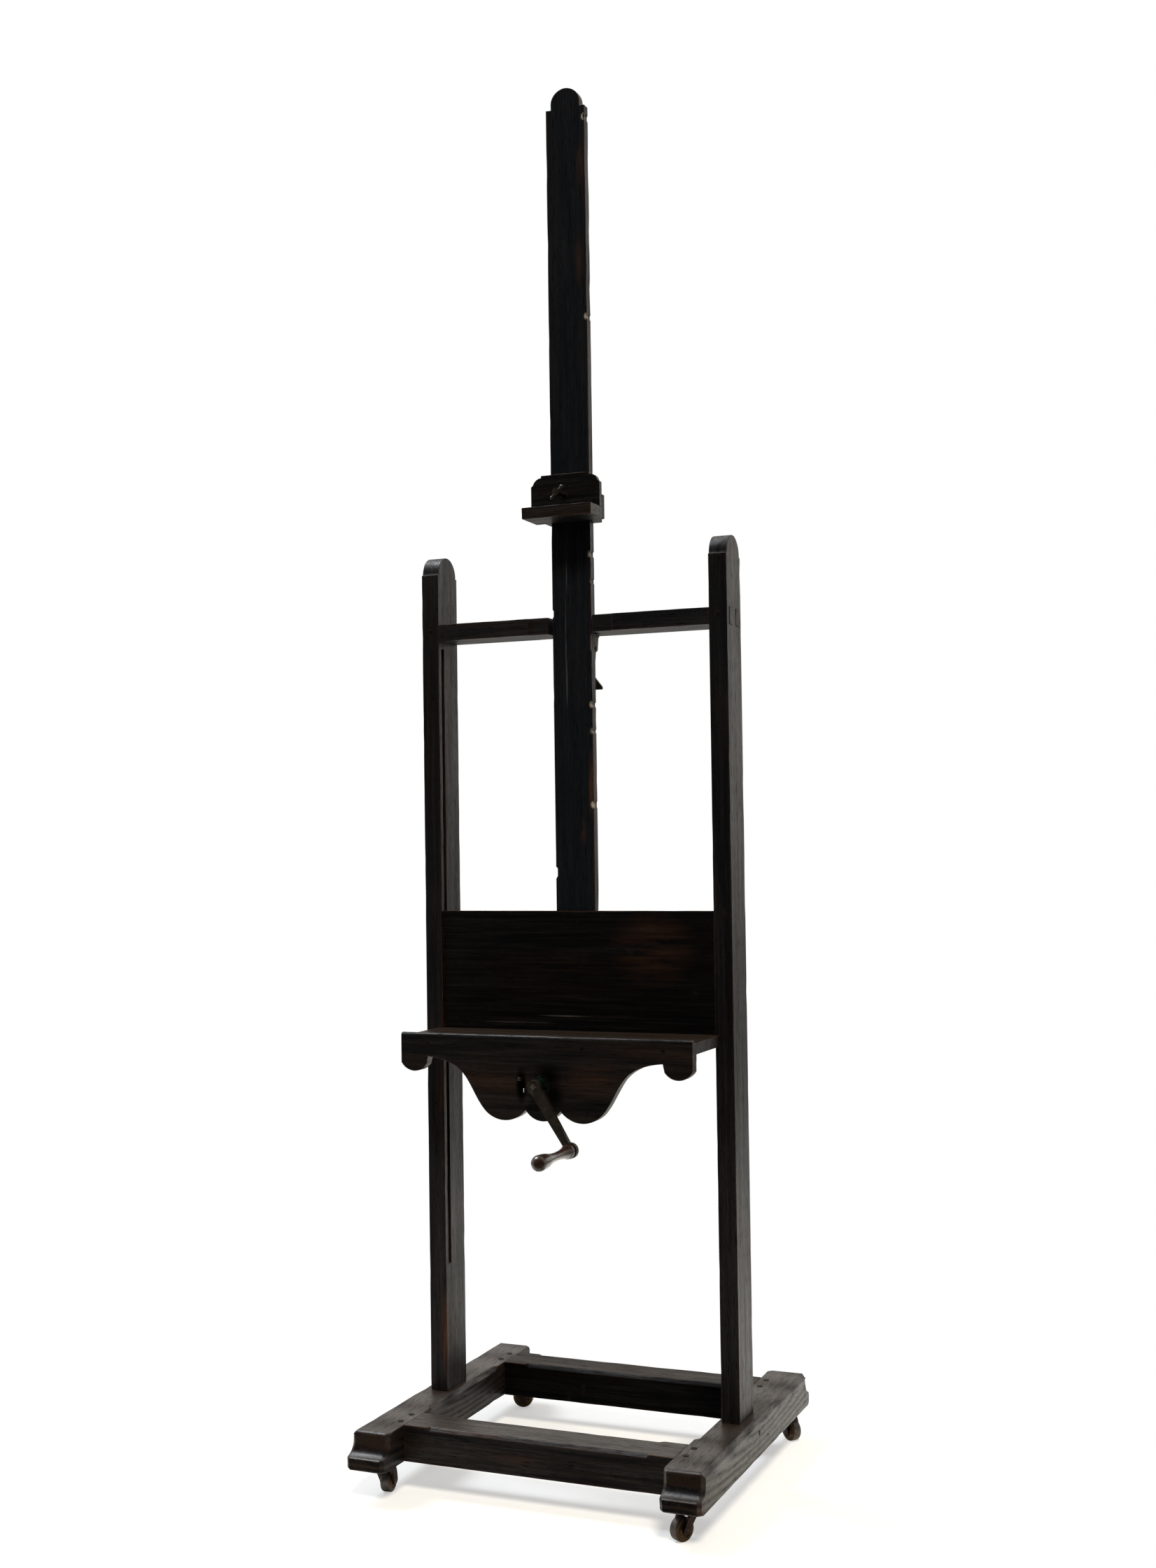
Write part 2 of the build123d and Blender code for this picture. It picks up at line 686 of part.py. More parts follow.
# ================================================================ crank and winding gear
def bearing_screw_spots(radius, count):
    """X and Z of the screws round a bearing."""
    step = 360 / count
    return [(radius * cos(radians(45 + step * i)), CRANK_Z + radius * sin(radians(45 + step * i)))
            for i in range(count)]


def front_bearing_screws():
    """Screws of the bearing on the apron."""
    screw = Rot(90, 0, 0) * wood_screw(1.2, 2.2, 13)
    front = APRON_FRONT - FLANGE_THICKNESS
    return [Pos(x, front, z) * screw for x, z in bearing_screw_spots(13.6, 4)]


def rear_bearing_screws():
    """Screws of the bearing on the back of the panel."""
    screw = Rot(-90, 0, 0) * wood_screw(1.6, 3, 14)
    back = PANEL_BACK + FLANGE_THICKNESS
    return [Pos(x, back, z) * screw for x, z in bearing_screw_spots(18, 4)]


def front_bearing():
    """Flanged iron collar on the apron that the crank shaft turns in."""
    collar = rod_y(FLANGE_RADIUS, APRON_FRONT - FLANGE_THICKNESS, APRON_FRONT, 0, CRANK_Z)
    collar += rod_y(BOSS_RADIUS, ARM_BACK + 2, APRON_FRONT, 0, CRANK_Z)
    collar += rod_y(BUSH_RADIUS, APRON_FRONT, APRON_BACK, 0, CRANK_Z)
    collar -= rod_y(SHAFT_RADIUS + BEARING_CLEARANCE, ARM_BACK + 2, APRON_BACK, 0, CRANK_Z)
    for screw in front_bearing_screws():
        collar -= screw
    return collar


def rear_bearing():
    """Flanged iron collar behind the panel."""
    collar = rod_y(24, PANEL_BACK, PANEL_BACK + FLANGE_THICKNESS, 0, CRANK_Z)
    collar += rod_y(BOSS_RADIUS, PANEL_BACK, DRUM_FRONT - 1, 0, CRANK_Z)
    collar -= rod_y(SHAFT_RADIUS + BEARING_CLEARANCE, PANEL_BACK, DRUM_FRONT - 1, 0, CRANK_Z)
    for screw in rear_bearing_screws():
        collar -= screw
    return collar


def square_end(clearance):
    """Square end of the shaft, set on its corner."""
    side = SQUARE_SIDE + clearance
    bar = Rot(0, 45, 0) * Box(side, ARM_THICKNESS + 3, side)
    return Pos(0, ARM_FRONT + (ARM_THICKNESS + 3) / 2 - 1.5, CRANK_Z) * bar


def crank_shaft():
    """Shaft from the crank back to the drum."""
    return rod_y(SHAFT_RADIUS, ARM_BACK + 1, SHAFT_BACK, 0, CRANK_Z) + square_end(0)


def arm_edges():
    """Outline of the tapered crank arm with round ends."""
    dx = ARM_EYE[0]
    dz = ARM_EYE[1] - CRANK_Z
    length = hypot(dx, dz)
    ux, uz = dx / length, dz / length
    wide, narrow = 10.0, 6.0
    start = (2.0 * ux, CRANK_Z + 2.0 * uz)
    return Polyline(
        (start[0] - uz * wide, start[1] + ux * wide),
        (ARM_EYE[0] - uz * narrow, ARM_EYE[1] + ux * narrow),
        (ARM_EYE[0] + uz * narrow, ARM_EYE[1] - ux * narrow),
        (start[0] + uz * wide, start[1] - ux * wide),
        close=True,
    )


def crank_arm():
    """Iron arm with a hub for the square and an eye for the grip spindle."""
    arm = plate_xz(arm_edges(), ARM_FRONT, ARM_BACK)
    arm += rod_y(HUB_RADIUS, ARM_FRONT, ARM_BACK, 0, CRANK_Z)
    arm += rod_y(EYE_RADIUS, ARM_FRONT + 1, ARM_BACK, *ARM_EYE)
    arm -= square_end(0)
    arm -= rod_y(SPINDLE_RADIUS, ARM_FRONT - 1, ARM_BACK + 1, *ARM_EYE)
    return arm


def grip_spindle():
    """Steel pin riveted in the arm; the grip turns on it."""
    return rod_y(SPINDLE_RADIUS, SPINDLE_TIP, ARM_BACK, *ARM_EYE)


def crank_grip():
    """Turned hardwood grip: a collar, a waist and a pear-shaped end."""
    root = ARM_FRONT - 0.4
    end_radius = 13.6
    equator = GRIP_TIP + end_radius
    dome = end_radius * cos(radians(45))
    profile = [
        Line((0, root), (10.5, root)),
        ThreePointArc((10.5, root), (12.6, root - 6), (11.2, root - 14)),
        ThreePointArc((11.2, root - 14), (7.3, root - 58), (11.8, root - 100)),
        ThreePointArc((11.8, root - 100), (13.2, root - 113), (end_radius, equator)),
        ThreePointArc((end_radius, equator), (dome, equator - dome), (0, GRIP_TIP)),
        Line((0, GRIP_TIP), (0, root)),
    ]
    body = revolve(make_face(profile), Axis.Y)
    body -= rod_y(SPINDLE_RADIUS + BEARING_CLEARANCE, SPINDLE_TIP - 1, ARM_FRONT, 0, 0)
    return Pos(ARM_EYE[0], 0, ARM_EYE[1]) * body


def ratchet_wheel():
    """Small ratchet wheel on the shaft behind the apron."""
    points = []
    for number in range(WHEEL_TEETH):
        angle = 2 * pi * number / WHEEL_TEETH
        for radius in (WHEEL_TIP_RADIUS, WHEEL_ROOT_RADIUS):
            points.append((radius * cos(angle), CRANK_Z + radius * sin(angle)))
    wheel = plate_xz(Polyline(*points, close=True), WHEEL_FRONT, WHEEL_BACK)
    return wheel - rod_y(SHAFT_RADIUS, WHEEL_FRONT, WHEEL_BACK, 0, CRANK_Z)


def cord_drum():
    """Flanged drum that winds the lifting cord."""
    drum = rod_y(DRUM_RADIUS, DRUM_FRONT, DRUM_BACK, 0, CRANK_Z)
    drum += rod_y(DRUM_FLANGE_RADIUS, DRUM_FRONT, DRUM_FRONT + DRUM_FLANGE, 0, CRANK_Z)
    drum += rod_y(DRUM_FLANGE_RADIUS, DRUM_BACK - DRUM_FLANGE, DRUM_BACK, 0, CRANK_Z)
    return drum - rod_y(SHAFT_RADIUS, DRUM_FRONT, DRUM_BACK, 0, CRANK_Z)


def lifting_cord():
    """Cord from the side of the drum up to the hook."""
    return rod_z(CORD_RADIUS, CRANK_Z, CORD_TOP - 4, CORD_X, CORD_Y)


def pawl_stud():
    """Shouldered screw in the back of the apron that the crank pawl turns on."""
    stud = rod_y(HINGE_RADIUS, APRON_BACK - 12, PAWL_BACK + 1, PAWL_PIVOT_X, PAWL_PIVOT_Z)
    return stud + rod_y(6, PAWL_BACK + 1, PAWL_BACK + 3, PAWL_PIVOT_X, PAWL_PIVOT_Z)


def crank_pawl():
    """Pawl that catches the lower left of the ratchet wheel."""
    x, z = PAWL_PIVOT_X, PAWL_PIVOT_Z
    edges = [
        Polyline((x, z + 7), (-44, 736), (-36, 734), (-31, 720), (-25.2, 710.4), (-27.5, 706),
                 (-40, 710), (x, z - 7)),
        ThreePointArc((x, z - 7), (x - 7, z), (x, z + 7)),
    ]
    pawl = plate_xz(edges, PAWL_FRONT, PAWL_BACK)
    pawl -= rod_y(HINGE_RADIUS + BEARING_CLEARANCE, PAWL_FRONT, PAWL_BACK, x, z)
    return pawl - pawl_pin()


def pawl_pin():
    """Bright pin of the pawl that shows in the slot of the apron."""
    front = APRON_FRONT - 8
    pin = rod_y(PAWL_PIN_RADIUS, front, PAWL_BACK, PAWL_PIN_X, PAWL_PIN_Z)
    return pin + Pos(PAWL_PIN_X, front, PAWL_PIN_Z) * Sphere(3.4)


# ================================================================ canvas holder
def holder_plate():
    """Front plate with stepped ogee shoulders."""
    points = [
        (HOLDER_HALF, LIP_TOP),
        (HOLDER_HALF, PLATE_SHOULDER),
        (HOLDER_HALF - 4, PLATE_SHOULDER + 3),
    ]
    arc_end = (PLATE_TOP_HALF, PLATE_TOP - 4)
    edges = [Line((-HOLDER_HALF, LIP_TOP), (HOLDER_HALF, LIP_TOP))]
    for side in (1, -1):
        corner = [(side * x, z) for x, z in points]
        arc = [corner[2], (side * (PLATE_TOP_HALF + 11.5), PLATE_TOP - 8.5),
               (side * arc_end[0], arc_end[1])]
        edges += [
            Polyline(*corner),
            ThreePointArc(*arc),
            Line(arc[2], (side * PLATE_TOP_HALF, PLATE_TOP)),
            Line((side * PLATE_TOP_HALF, PLATE_TOP), (0, PLATE_TOP)),
        ]
    plate = plate_xz(edges, PLATE_FRONT, PLATE_BACK)
    return plate - screw_hole()


def screw_hole():
    """Tapped hole of the thumbscrew, drawn as a running fit."""
    return rod_y(SCREW_RADIUS + BEARING_CLEARANCE, PLATE_FRONT, MAST_FRONT - SLIDE_CLEARANCE,
                 0, SCREW_Z)


def holder_lip():
    """Ledge that hooks over the top edge of a canvas."""
    return block(-HOLDER_HALF, HOLDER_HALF, LIP_FRONT, PLATE_BACK, HOLDER_BOTTOM, LIP_TOP)


def holder_saddle():
    """Block behind the plate whose cheeks straddle the mast."""
    web_back = MAST_FRONT - SLIDE_CLEARANCE
    cheek_back = MAST_BACK + SLIDE_CLEARANCE
    inner = MAST_WIDTH / 2 + SLIDE_CLEARANCE
    outer = inner + CHEEK_THICKNESS
    saddle = block(-HOLDER_HALF, HOLDER_HALF, PLATE_BACK, web_back, HOLDER_BOTTOM, SADDLE_TOP)
    saddle += block(-outer, outer, PLATE_BACK, web_back, SADDLE_TOP, PLATE_SHOULDER)
    for cheek in both_sides(block(inner, outer, web_back, cheek_back, HOLDER_BOTTOM, SADDLE_TOP)):
        saddle += cheek
    saddle -= screw_hole()
    for screw in holder_screws():
        saddle -= screw
    return saddle


def holder_back():
    """Plate that closes the saddle behind the mast."""
    outer = MAST_WIDTH / 2 + SLIDE_CLEARANCE + CHEEK_THICKNESS
    front = MAST_BACK + SLIDE_CLEARANCE
    plate = block(-outer, outer, front, front + HOLDER_BACK_THICKNESS, HOLDER_BOTTOM, SADDLE_TOP)
    for screw in holder_screws():
        plate -= screw
    return plate


def holder_screws():
    """Four screws from the back plate into the cheeks."""
    back = MAST_BACK + SLIDE_CLEARANCE + HOLDER_BACK_THICKNESS
    x = MAST_WIDTH / 2 + SLIDE_CLEARANCE + CHEEK_THICKNESS / 2
    screw = Rot(-90, 0, 0) * wood_screw(1.6, 3.2, 26)
    return [Pos(side * x, back, z) * screw
            for side in (-1, 1) for z in (HOLDER_BOTTOM + 12, SADDLE_TOP - 12)]


def tommy_bar():
    """Bar with ball ends through the head of the thumbscrew."""
    bar = Cylinder(BAR_RADIUS, BAR_LENGTH)
    bar += Pos(0, 0, BAR_LENGTH / 2) * Sphere(3.6)
    bar += Pos(0, 0, -BAR_LENGTH / 2) * Sphere(3.6)
    return Pos(0, SCREW_HEAD_FRONT + 7, SCREW_Z) * Rot(0, 45, 0) * bar


def thumbscrew():
    """Clamping screw whose tip meets the mast."""
    screw = rod_y(SCREW_RADIUS, SCREW_HEAD_FRONT + 12, MAST_FRONT - 0.1, 0, SCREW_Z)
    screw += rod_y(6.5, SCREW_HEAD_FRONT, SCREW_HEAD_FRONT + 14, 0, SCREW_Z)
    return screw - tommy_bar()


# ================================================================ casters
def caster_pivot(corner):
    """X and Y of the swivel of one caster, named front/rear and left/right."""
    x = CASTER_X if corner[1] == "r" else -CASTER_X
    y = CASTER_Y[0] if corner[0] == "f" else CASTER_Y[1]
    return x, y


def place_caster(corner, shape):
    """Turn a caster piece drawn trailing along +X and set it under its corner."""
    x, y = caster_pivot(corner)
    return Pos(x, y, 0) * Rot(0, 0, CASTER_TRAIL[corner]) * shape


def caster_plate(corner):
    """Round iron plate under a foot."""
    x, y = caster_pivot(corner)
    bottom = FOOT_BOTTOM - CASTER_PLATE_THICKNESS
    plate = rod_z(CASTER_PLATE_RADIUS, bottom, FOOT_BOTTOM, x, y)
    plate -= rod_z(STEM_RADIUS + BEARING_CLEARANCE, bottom, FOOT_BOTTOM, x, y)
    for screw in caster_screws(x, y):
        plate -= screw
    return plate


def caster_axle():
    """Riveted axle of a caster wheel, along Y."""
    half = CASTER_GAP / 2 + HORN_THICKNESS + 1
    return rod_y(AXLE_RADIUS, -half, half, CASTER_OFFSET, CASTER_WHEEL_RADIUS)


def caster_fork():
    """Cast fork: a round crown on a stem and two horns that sweep back to the axle."""
    inner = CASTER_GAP / 2
    outer = inner + HORN_THICKNESS + HORN_FLARE
    eye = 7.0
    axle_x, axle_z = CASTER_OFFSET, CASTER_WHEEL_RADIUS
    horn_edges = [
        Line((-11, CROWN_TOP), (12, CROWN_TOP)),
        Line((12, CROWN_TOP), (12, CROWN_BOTTOM)),
        ThreePointArc((12, CROWN_BOTTOM), (20, 35), (axle_x + eye, axle_z)),
        ThreePointArc((axle_x + eye, axle_z), (axle_x, axle_z - eye), (axle_x - eye, axle_z)),
        ThreePointArc((axle_x - eye, axle_z), (6.5, 33), (-3, CROWN_BOTTOM)),
        Line((-3, CROWN_BOTTOM), (-11, CROWN_BOTTOM)),
        Line((-11, CROWN_BOTTOM), (-11, CROWN_TOP)),
    ]
    fork = plate_xz(horn_edges, inner, outer)
    fork += plate_xz(horn_edges, -outer, -inner)
    fork += block(-11, 12, -outer, outer, CROWN_BOTTOM, CROWN_TOP)
    drop = CROWN_TOP - (axle_z - eye)
    flare = Rot(-degrees(atan2(HORN_FLARE, drop)), 0, 0) * block(-40, 40, 0, 20, -80, 20)
    flare = Pos(0, outer, CROWN_TOP) * flare
    fork -= flare
    fork -= mirror(flare, about=Plane.XZ)
    fork += rod_z(STEM_RADIUS, CROWN_TOP, STEM_TOP, 0, 0)
    return fork - caster_axle()


def caster_wheel():
    """Brass wheel with a rounded tread and dished faces."""
    half = CASTER_WHEEL_WIDTH / 2
    rim = CASTER_WHEEL_RADIUS
    bore = AXLE_RADIUS + BEARING_CLEARANCE
    profile = [
        Line((bore, -half), (7, -half)),
        ThreePointArc((7, -half), (10, -half + 2.5), (13, -half + 0.8)),
        Line((13, -half + 0.8), (16, -half + 0.8)),
        ThreePointArc((16, -half + 0.8), (rim - 0.9, -half + 1.8), (rim, -half + 4)),
        Line((rim, -half + 4), (rim, half - 4)),
        ThreePointArc((rim, half - 4), (rim - 0.9, half - 1.8), (16, half - 0.8)),
        Line((16, half - 0.8), (13, half - 0.8)),
        ThreePointArc((13, half - 0.8), (10, half - 2.5), (7, half)),
        Line((7, half), (bore, half)),
        Line((bore, half), (bore, -half)),
    ]
    wheel = revolve(make_face(profile), Axis.Y)
    return Pos(CASTER_OFFSET, 0, CASTER_WHEEL_RADIUS) * wheel


# ================================================================ write the nodes
os.makedirs("parts", exist_ok=True)

FOOT = right_foot()
save("right_foot", FOOT)
save("left_foot", mirror(FOOT, about=Plane.YZ))
save("front_cross_rail", cross_rail(CROSS_RAIL_Y[0]))
save("rear_cross_rail", cross_rail(CROSS_RAIL_Y[1]))
save("base_pegs", *[peg for y in base_peg_rows() for peg in both_sides(base_peg(y))])
save("post_pegs", *post_pegs())

POST = right_post()
save("right_post", POST)
save("left_post", mirror(POST, about=Plane.YZ))
save("top_rail", top_rail())
save("rail_pegs", *both_sides(rail_peg()))
save("pawl_bracket", pawl_bracket())
save("pawl_bracket_screws", *pawl_bracket_screws())
save("pawl_hinge_pin", hinge_pin())
save("mast_pawl", mast_pawl())
save("cord_hook", cord_hook())
save("lifting_cord", lifting_cord())

save("mast", mast())
save("rack_strip", rack_strip())
save("rack_screws", *rack_screws())
save("mast_screws", *mast_screws())
save("panel", panel())
save("shelf", shelf())
save("apron", apron())
save("shelf_brackets", *both_sides(bracket()))
save("shelf_screws", *shelf_screws())
save("apron_screws", *apron_screws())

save("front_bearing", front_bearing())
save("front_bearing_screws", *front_bearing_screws())
save("rear_bearing", rear_bearing())
save("rear_bearing_screws", *rear_bearing_screws())
save("crank_shaft", crank_shaft())
save("crank_arm", crank_arm())
save("grip_spindle", grip_spindle())
save("crank_grip", crank_grip())
save("ratchet_wheel", ratchet_wheel())
save("cord_drum", cord_drum())
save("crank_pawl_stud", pawl_stud())
save("crank_pawl", crank_pawl())
save("crank_pawl_pin", pawl_pin())

save("holder_plate", holder_plate())
save("holder_lip", holder_lip())
save("holder_saddle", holder_saddle())
save("holder_back", holder_back())
save("holder_screws", *holder_screws())
save("thumbscrew", thumbscrew())
save("tommy_bar", tommy_bar())

save("caster_plates", *[caster_plate(corner) for corner in CASTER_TRAIL])
save("caster_screws", *[screw for corner in CASTER_TRAIL
                        for screw in caster_screws(*caster_pivot(corner))])
for corner in CASTER_TRAIL:
    save(f"caster_fork_{corner}", place_caster(corner, caster_fork()))
    save(f"caster_axle_{corner}", place_caster(corner, caster_axle()))
    save(f"caster_wheel_{corner}", place_caster(corner, caster_wheel()))
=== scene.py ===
import json
import math

import bmesh
import bpy
from mathutils import Matrix, Vector, noise


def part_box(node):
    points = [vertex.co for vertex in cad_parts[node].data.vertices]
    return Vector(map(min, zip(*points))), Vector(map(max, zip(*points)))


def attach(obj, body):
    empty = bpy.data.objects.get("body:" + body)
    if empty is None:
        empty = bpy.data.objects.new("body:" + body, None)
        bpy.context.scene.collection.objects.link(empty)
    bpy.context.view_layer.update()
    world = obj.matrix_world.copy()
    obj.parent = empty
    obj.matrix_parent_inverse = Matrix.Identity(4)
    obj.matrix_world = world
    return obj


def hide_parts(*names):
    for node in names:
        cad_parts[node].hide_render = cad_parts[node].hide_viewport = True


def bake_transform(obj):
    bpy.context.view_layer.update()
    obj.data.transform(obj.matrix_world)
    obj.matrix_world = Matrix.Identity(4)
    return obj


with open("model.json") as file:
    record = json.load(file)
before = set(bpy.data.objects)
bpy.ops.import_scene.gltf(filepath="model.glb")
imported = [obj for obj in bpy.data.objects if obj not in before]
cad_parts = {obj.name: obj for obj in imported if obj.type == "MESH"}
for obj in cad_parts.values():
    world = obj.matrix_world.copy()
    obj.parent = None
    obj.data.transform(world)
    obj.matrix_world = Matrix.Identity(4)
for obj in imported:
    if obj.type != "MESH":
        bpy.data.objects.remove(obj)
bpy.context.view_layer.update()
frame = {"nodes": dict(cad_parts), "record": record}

MM = 0.001
NODES = frame["nodes"]
BEHAVIOUR = frame["record"]["behaviour"]
JOINTS = {joint["name"]: joint for joint in BEHAVIOUR["joints"]}
BODY_OF = {node: body for body, members in BEHAVIOUR["bodies"].items() for node in members}

FRONT = (0, -1, 0)
UP = (0, 0, 1)
TOWARD_CAMERA = (0.39, -0.92, 0.0)


# ---------------------------------------------------------------- shader trees
class Tree:
    """Short way to build a shader. Scales are features per metre along X, Y and Z."""

    def __init__(self, name):
        self.material = bpy.data.materials.new(name)
        self.material.use_nodes = True
        self.nodes = self.material.node_tree.nodes
        self.links = self.material.node_tree.links
        self.nodes.clear()
        self.out = self.node("OutputMaterial")
        self.bsdf = self.node("BsdfPrincipled")
        self.feed(self.out.inputs["Surface"], self.bsdf.outputs[0])
        self.coords = self.node("TexCoord").outputs["Object"]

    def node(self, kind, inputs=(), **settings):
        """New node with its settings, and its inputs fed by name or number."""
        made = self.nodes.new("ShaderNode" + kind)
        for name, value in settings.items():
            setattr(made, name, value)
        for socket, value in dict(inputs).items():
            self.feed(made.inputs[socket], value)
        return made

    def feed(self, socket, value):
        """Link a socket to an output, or give it a plain value."""
        if isinstance(value, bpy.types.NodeSocket):
            self.links.new(value, socket)
        else:
            socket.default_value = value

    def mapped(self, scale, offset=(0, 0, 0)):
        """Object coordinates times a scale, plus an offset."""
        if isinstance(scale, (int, float)):
            scale = (scale, scale, scale)
        inputs = {"Vector": self.coords, "Scale": scale, "Location": offset}
        return self.node("Mapping", inputs).outputs[0]

    def noise(self, scale, detail, rough=0.55, distort=0.0, offset=(0, 0, 0)):
        """Cloudy noise, mostly between 0.3 and 0.7."""
        inputs = {"Vector": self.mapped(scale, offset), "Scale": 1.0, "Detail": detail,
                  "Roughness": rough, "Distortion": distort}
        return self.node("TexNoise", inputs).outputs["Fac"]

    def cells(self, scale):
        """Distance to the nearest of many scattered points."""
        inputs = {"Vector": self.mapped(scale), "Scale": 1.0}
        return self.node("TexVoronoi", inputs).outputs["Distance"]

    def rings(self, scale, offset, distort, detail, detail_scale):
        """Wavering growth rings."""
        inputs = {"Vector": self.mapped(scale, offset), "Scale": 1.0, "Distortion": distort,
                  "Detail": detail, "Detail Scale": detail_scale}
        return self.node("TexWave", inputs, wave_type="RINGS").outputs["Fac"]

    def math(self, kind, a, b=0.0, clamp=False):
        return self.node("Math", {0: a, 1: b}, operation=kind, use_clamp=clamp).outputs[0]

    def times(self, value, *factors, clamp=False):
        """Product of all values, held between 0 and 1 if clamp is true."""
        for factor in factors:
            value = self.math("MULTIPLY", value, factor, clamp)
        return value

    def plus(self, a, b):
        return self.math("ADD", a, b)

    def remap(self, value, low, high, to_low=0.0, to_high=1.0):
        """Stretch the range low to high over to_low to to_high, and clamp it."""
        inputs = {"Value": value, "From Min": low, "From Max": high,
                  "To Min": to_low, "To Max": to_high}
        return self.node("MapRange", inputs, clamp=True).outputs["Result"]

    def mix(self, factor, first, second):
        """The first colour where factor is 0, the second where it is 1."""
        made = self.node("Mix", data_type="RGBA")
        self.feed(made.inputs["Factor"], factor)
        for socket, color in ((made.inputs[6], first), (made.inputs[7], second)):
            self.feed(socket, (*color, 1.0) if isinstance(color, tuple) else color)
        return made.outputs[2]

    def vector(self, kind, a, b=(0, 0, 0)):
        """Vector arithmetic. A length and a dot product are numbers, the rest are vectors."""
        made = self.node("VectorMath", {0: a, 1: b}, operation=kind)
        return made.outputs[1 if kind in ("LENGTH", "DOT_PRODUCT") else 0]

    def length(self, vector):
        return self.vector("LENGTH", vector)

    def edges(self, radius):
        """1 on corners of the shape within radius, 0 on flats."""
        rounded = self.node("Bevel", {"Radius": radius}, samples=4).outputs[0]
        normal = self.node("NewGeometry").outputs["Normal"]
        return self.remap(self.vector("DOT_PRODUCT", rounded, normal), 0.995, 0.86)

    def facing(self, direction):
        """1 where the surface faces the direction, 0 where it is square to it."""
        normal = self.node("NewGeometry").outputs["True Normal"]
        return self.vector("DOT_PRODUCT", normal, direction)

    def spot(self, centre, radius):
        """Soft blob, 1 at the centre and 0 at the radii given along X, Y and Z."""
        scale = tuple(1 / r for r in radius)
        offset = tuple(-c / r for c, r in zip(centre, radius))
        return self.remap(self.length(self.mapped(scale, offset)), 1.0, 0.15)

    def bump(self, height, strength, distance, normal=None):
        made = self.node("Bump", {"Height": height, "Strength": strength, "Distance": distance})
        if normal is not None:
            self.feed(made.inputs["Normal"], normal)
        return made.outputs[0]

    def finish(self, color, rough, normal=None, metallic=0.0, coat=0.0, specular=0.5):
        for name, value in (("Base Color", color), ("Roughness", rough),
                            ("Metallic", metallic), ("Specular IOR Level", specular),
                            ("Coat Weight", coat), ("Coat Roughness", 0.28),
                            ("Normal", normal)):
            if value is not None:
                self.feed(self.bsdf.inputs[name], value)
        return self.material


def along(axis, stretch, across):
    """Scale whose features run along one axis, stretch times as long as they are wide."""
    scale = [across, across, across]
    scale["XYZ".index(axis)] = across / stretch
    return tuple(scale)


# ---------------------------------------------------------------- oak
NEUTRAL_BLACK = (0.0026, 0.0024, 0.0027)
POST_BLACK = (0.0030, 0.0032, 0.0040)
SIDE_BLACK = (0.0030, 0.0031, 0.0037)
RAIL_BLACK = (0.0032, 0.0034, 0.0042)
BLUE_BLACK = (0.0040, 0.0054, 0.0078)
# Painted shade: the near black that shaded places are darkened to.
PAINTED_SHADE_BLACK = (0.0015, 0.0012, 0.0010)
PORE = (0.0008, 0.0007, 0.0007)
UMBER = (0.0150, 0.0085, 0.0056)
ASH = (0.0120, 0.0100, 0.0092)
RUBBED_DARK = (0.038, 0.015, 0.007)
RUBBED_LIGHT = (0.095, 0.040, 0.020)
WORN_BROWN = (0.050, 0.021, 0.011)
DUST = (0.024, 0.016, 0.011)
SCUFF = (0.028, 0.022, 0.018)
BLOOM = (0.016, 0.0145, 0.0130)
SCRATCH = (0.080, 0.075, 0.072)
BARE_OAK = (0.30, 0.26, 0.21)


